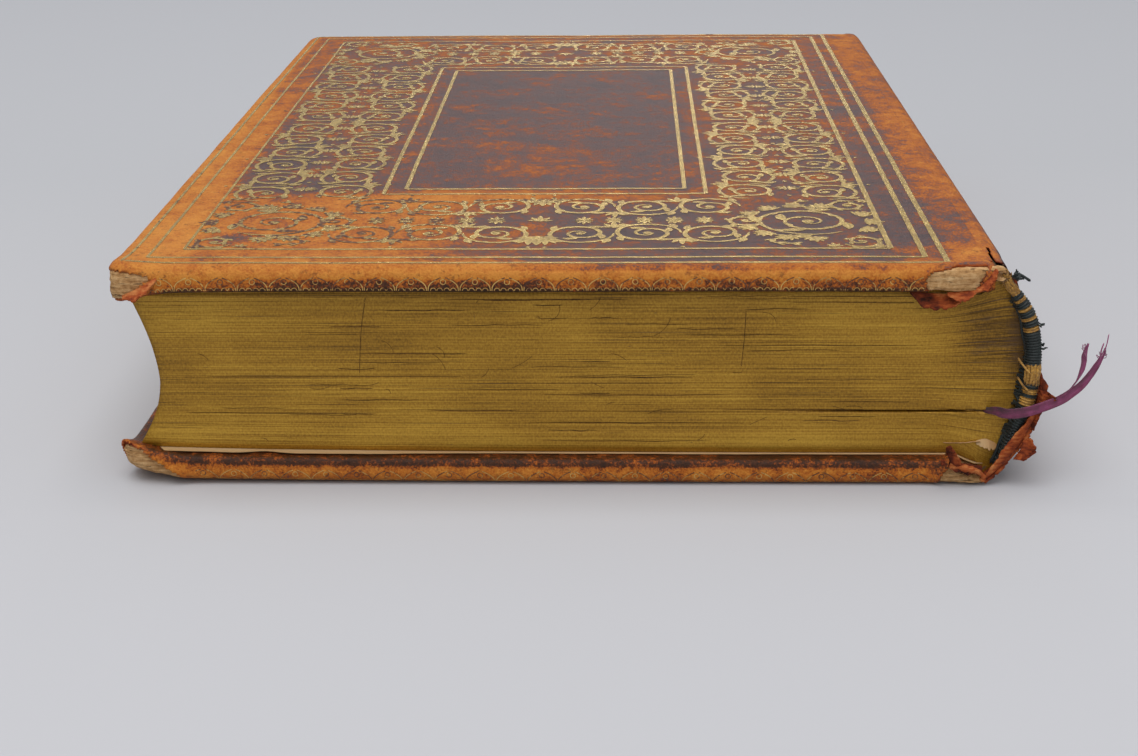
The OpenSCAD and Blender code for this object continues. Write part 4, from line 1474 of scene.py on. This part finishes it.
straw_ends = loose_threads(7, 16, (76.8, -113.2, 37.6), (0.9, 0.5, 0.5), 1.7, (-0.2, -0.6, 0.3), 0.1)
for k, lean in enumerate(np.linspace(-1.2, 2.4, 9)):
    strand_y = head_y - band_off - 1.15 * np.cos(lean)
    straw_ends.append(arc_thread(head_line, 16.0, 20.0, 1.15 * np.sin(lean), strand_y, 0.3, 0.1, 130 + k))
for k, lean in enumerate(np.linspace(-1.4, 1.8, 6)):
    strand_y = head_y - band_off - 0.6 * np.cos(lean)
    straw_ends.append(arc_thread(head_line, 0.1, 3.3, 0.6 * np.sin(lean), strand_y, 0.26, 0.12, 150 + k))
crossings = (
    (((15.4, -2.5, 0.8), (16.4, -1.8, 2.1), (17.6, -0.7, 3.2)), 0.2),
    (((19.0, -2.3, 0.8), (20.0, -1.6, 2.2), (20.8, -0.6, 3.1)), 0.18),
)
for places, radius in crossings:
    crossing = [on_band(head_line, s, off, head_y - deep) for s, off, deep in places]
    straw_ends.append(tube(flowing(crossing, 16), radius, 6))
piece("headband_straw_loose_ends", straw_ends, [yellow_silk], "text_block", merge=True)

# %% [markdown]
# ## Ribbon
# A silk marker leaves the pages at the slit, crosses the headband and ends in two frayed tails that stand
# up. It is a strip that has been folded along its length: the path gives its middle, and the section is a
# soft zigzag turned about the path.


# %% Ribbon strip and frayed tails
def folded_strip(route, count, half_width, folds, lean, wear):
    """A zigzag section carried along a route; half_width and lean change along it."""
    path = flowing(route, count)
    t = np.linspace(0, 1, count)
    along = np.gradient(path, axis=0)
    along /= np.linalg.norm(along, axis=1)[:, None]
    across = np.cross(along, (0, 1, 0))
    across /= np.linalg.norm(across, axis=1)[:, None]
    out = np.cross(across, along)
    tilt = np.interp(t, np.linspace(0, 1, len(lean)), lean)[:, None]
    wide = across * np.cos(tilt) + out * np.sin(tilt)
    deep = out * np.cos(tilt) - across * np.sin(tilt)
    width = np.interp(t, np.linspace(0, 1, len(half_width)), half_width)[:, None]
    w = np.linspace(-1, 1, 25)
    crease = np.abs(((w + 0.3) * folds) % 2 - 1)[None]
    section = 0.22 * width * crease + 0.1 * mottle(t[:, None] * 30, w[None] * 2, 2.0, 121)
    points = path[:, None] + wide[:, None] * (width * w[None])[..., None]
    points = points + deep[:, None] * section[..., None]
    fade = np.interp(t, np.linspace(0, 1, len(wear)), wear)[:, None] + 0.2 * (crease - 0.5)
    uv = np.stack(np.broadcast_arrays(t[:, None] * 30, w[None]), -1)
    return part(points, fade, uv, facing=(0, -1, 0))


stub_y = -116.0
ribbon_high_z = 14.15
main_route = [
    (74.4, -110.0, 12.7), (75.4, -112.3, 13.0), (76.6, -114.4, 13.6), (78.4, -115.7, 13.6),
    (81.3, stub_y, 14.0), (85.3, stub_y, 15.4), (88.1, stub_y, 16.9), (90.8, stub_y, 19.4),
    (92.8, stub_y, 22.7), (93.9, stub_y, 25.2),
]
short_route = [
    (86.2, stub_y - 0.25, 16.4), (88.1, stub_y - 0.35, 17.9), (89.6, stub_y - 0.3, 20.0),
    (90.4, stub_y - 0.2, 22.4), (90.5, stub_y - 0.1, 24.6), (91.0, stub_y, 26.4),
]
main_half = [0.3, 0.6, 0.95, 0.95, 0.9, 0.85, 0.8, 0.7, 0.55, 0.2]
main_fade = [0.15, 0.25, 0.45, 0.5, 0.42, 0.62]
short_half = [0.06, 0.1, 0.16, 0.42, 0.5, 0.12]
strips = [
    folded_strip(main_route, 90, main_half, 1.0, [0.5, -0.1, 0.1, 0.0, 0.15], main_fade),
    folded_strip(short_route, 50, short_half, 0.8, [0.2, -0.2, 0.1], [0.4, 0.5, 0.55]),
]
inside_x, inside_y = np.meshgrid(np.linspace(70.4, 75.2, 6), np.linspace(-110.0, 108.0, 60), indexing="ij")
inside_z = slit_z + (ribbon_high_z - slit_z) * smooth((inside_y + 110.0) / 14.0)
inside = np.stack([inside_x, inside_y, inside_z], -1)
strips.append(part(inside, 0.3, np.stack([inside_y, inside_x], -1), facing=(0, 0, 1)))
piece("ribbon_strip", strips, [ribbon.material], "text_block", 0.12, ["ribbon_marker"])
long_fray = [(93.3, stub_y, 23.9), (94.0, stub_y, 26.0), (94.3, stub_y, 28.2)]
short_fray = [(93.1, stub_y - 0.2, 23.6), (93.2, stub_y - 0.2, 25.3), (93.6, stub_y, 26.6)]
frays = [tube(flowing(long_fray, 12), 0.1, 6, 0.8), tube(flowing(short_fray, 12), 0.12, 6, 0.7)]
frays += loose_threads(11, 9, (93.2, stub_y, 24.0), (0.3, 0.1, 0.3), 1.6, (0.3, 0, 1.0), 0.06)
frays += loose_threads(12, 7, (90.4, stub_y - 0.2, 24.6), (0.2, 0.1, 0.5), 1.2, (0.0, 0, 1.0), 0.06)
piece("ribbon_frayed_ends", frays, [ribbon.material], "text_block", merge=True)

# %% [markdown]
# ## Torn scraps
# Scraps of leather hang where the cover is torn, and the head cap has left a strip over the lower headband.
# A scrap is rooted along a line and curls: it starts in one direction and turns towards another as it goes.


# %% Curled scraps
scrap_rows = 46
scrap_t = 0.35


def scrap(root, first, second, length, turn, wear, seed, cols=22):
    """From each point of the root line the scrap runs along first and turns towards second by the angle."""
    root = flowing(root, scrap_rows)
    rows = np.arange(scrap_rows)
    t = np.linspace(0, 1, cols)
    reach = np.interp(np.linspace(0, 1, scrap_rows), np.linspace(0, 1, len(length)), length)
    reach = reach * (1 + 0.3 * ragged(rows * 0.5, 0.0, 2.0, seed))
    angle = turn * t
    step = 1.0 / (cols - 1)
    run_first = np.r_[0, np.cumsum(np.cos(angle[:-1]) * step)]
    run_second = np.r_[0, np.cumsum(np.sin(angle[:-1]) * step)]
    first, second = np.asarray(first, float), np.asarray(second, float)
    shape = run_first[None, :, None] * first + run_second[None, :, None] * second
    points = root[:, None] + reach[:, None, None] * shape
    crumple = 0.12 * ragged(rows[:, None] * 0.4, t[None] * 4, 1.6, seed + 3)
    points = points + crumple[..., None] * second
    points[..., 2] = np.maximum(points[..., 2], 0.45)
    return part(points, wear, facing=second)


out = (0, -1, 0)
across = np.linspace(0, 1, scrap_rows)[:, None]
front_scraps = [
    scrap([(61.1, -114.0, 35.1), (65.0, -113.0, 34.4), (68.0, -113.2, 34.4), (70.9, -114.2, 35.2)],
          (0.02, -0.35, -0.93), out, [0.4, 2.2, 2.5, 2.4, 1.9, 0.3], 0.6, 0.28 + 0.35 * across, 201),
    scrap([(67.2, -114.0, 34.6), (69.4, -114.2, 34.9), (72.2, -114.5, 35.6)],
          (0.1, -0.75, -0.6), (0, -0.4, -0.9), [0.4, 1.3, 1.5, 0.5], 1.2, 0.6, 211),
    scrap([(71.4, -114.7, 35.4), (73.2, -115.1, 37.0), (74.8, -114.9, 39.2)],
          (0.75, -0.65, 0.1), (-0.2, -0.6, -0.7), [0.7, 1.5, 1.3, 0.7], 1.6, 0.62, 202),
    scrap([(-72.4, -115.2, 34.8), (-69.6, -115.5, 36.1), (-66.4, -115.2, 37.9)],
          (0.25, -0.45, -0.85), out, [0.6, 1.7, 1.3, 0.3], 1.0, 0.7, 203),
]
piece("front_torn_scraps", front_scraps, [torn.material], "front_cover", scrap_t)
lip = flowing([(69.2, -114.8, 3.9), (70.6, -115.4, 3.6), (72.2, -115.5, 3.4), (74.0, -115.3, 2.8),
               (75.1, -114.9, 1.7), (75.0, -114.5, 0.9)], 60)
lip_size = 0.55 + 0.3 * ragged(np.arange(60) * 0.3, 0.0, 2.0, 205)
back_scraps = [
    scrap([(69.5, -115.2, 3.9), (70.4, -115.6, 3.5), (71.4, -115.2, 3.2)],
          (-0.45, -0.25, 0.86), (0.3, -0.9, 0.2), [3.4, 5.6, 2.0], 0.6, 0.22 + 0.45 * across, 204),
    tube(lip, lip_size, 14, 0.78),
    scrap([(67.6, -114.6, 4.5), (70.6, -114.4, 3.9), (74.8, -113.8, 3.0)],
          (0.05, -0.9, -0.2), (0, -0.2, -1), [0.6, 1.4, 1.7, 1.2], 1.5, 0.3, 216),
]
piece("back_torn_scraps", back_scraps, [torn.material], "back_cover", scrap_t)


# %% Head cap remnant and spine scraps
def head_cap(from_deg, to_deg):
    """What is left of the head cap: leather rolled from the spine over the headband, on (angle, turn)."""
    arc = np.radians(np.linspace(from_deg, to_deg, 60))
    angle, t = np.meshgrid(arc, np.linspace(0, 1, 16), indexing="ij")
    share = (angle - angle.min()) / (angle.max() - angle.min())
    fullness = 0.35 + 0.65 * np.sin(np.pi * share) ** 0.6
    reach = 2.5 * fullness * (1 + 0.25 * ragged(angle * 25, 1.0, 2.0, 213))
    roll = reach * t / 1.5
    r = spine_r - 0.2 - 2.0 * (1 - np.cos(roll)) + 0.2 * ragged(angle * 25, t * 2, 1.5, 214)
    y = edge_y + 0.8 - 1.2 * np.sin(roll)
    points = np.stack([round_x + r * np.cos(angle), y, mid_z + r * np.sin(angle)], -1)
    return part(points, 0.66 - 0.2 * (1 - t), facing=(0.4, -1, -0.2))


spine_scraps = [
    head_cap(-16, -49),
    scrap([(83.4, -113.8, 17.8), (84.2, -114.6, 16.6), (84.0, -114.4, 15.0)],
          (0.9, -0.4, 0.1), (-0.1, -0.6, -0.6), [0.6, 2.4, 0.8], 0.8, 0.42, 207),
    scrap([(81.6, -114.4, 8.8), (81.2, -115.2, 7.2), (80.0, -115.0, 5.0)],
          (0.95, -0.3, -0.1), (0, -0.8, 0.4), [1.0, 2.9, 1.6], 1.2, 0.45, 208),
    scrap([(83.6, -113.2, 20.4), (84.0, -113.6, 17.0), (83.0, -113.8, 10.0)],
          (0.5, -0.85, 0), (0.7, 0.2, 0.1), [0.6, 1.7, 1.5, 1.2, 0.6], 0.9, 0.4, 209),
]
piece("spine_torn_scraps", spine_scraps, [torn.material], "text_block", scrap_t)
paper_scraps = [
    scrap([(68.3, -112.0, 7.0), (71.5, -112.1, 7.0), (74.6, -112.1, 7.3)],
          (0, -1, 0.1), (0, -0.1, 1), [0.3, 0.6, 0.5, 0.7], 0.5, 0.85, 210),
    scrap([(74.0, -112.0, 7.4), (75.8, -112.3, 7.6), (77.7, -112.1, 6.5)],
          (0, -0.8, -0.5), (0, -0.2, -1), [0.6, 1.4, 1.3, 0.5], 1.3, 0.55 + 0.45 * across, 212),
]
piece("torn_page_scraps", paper_scraps, [endpaper], "text_block", 0.12)
fibres = [
    scrap([(73.6, -113.9, 38.9), (75.6, -113.6, 39.2), (77.0, -113.0, 38.4)],
          (0.1, -0.85, 0.3), (0, -0.3, -0.9), [0.8, 1.5, 1.2], 1.9, 0.45, 213),
    scrap([(74.2, -113.4, 37.6), (75.8, -113.5, 37.9), (77.4, -113.2, 37.2)],
          (0.1, -0.8, -0.2), (0, -0.4, -0.9), [0.8, 1.6, 0.9], 1.5, 0.6, 215),
]
piece("joint_board_fibres", fibres, [pulp.material], "text_block", 0.2)
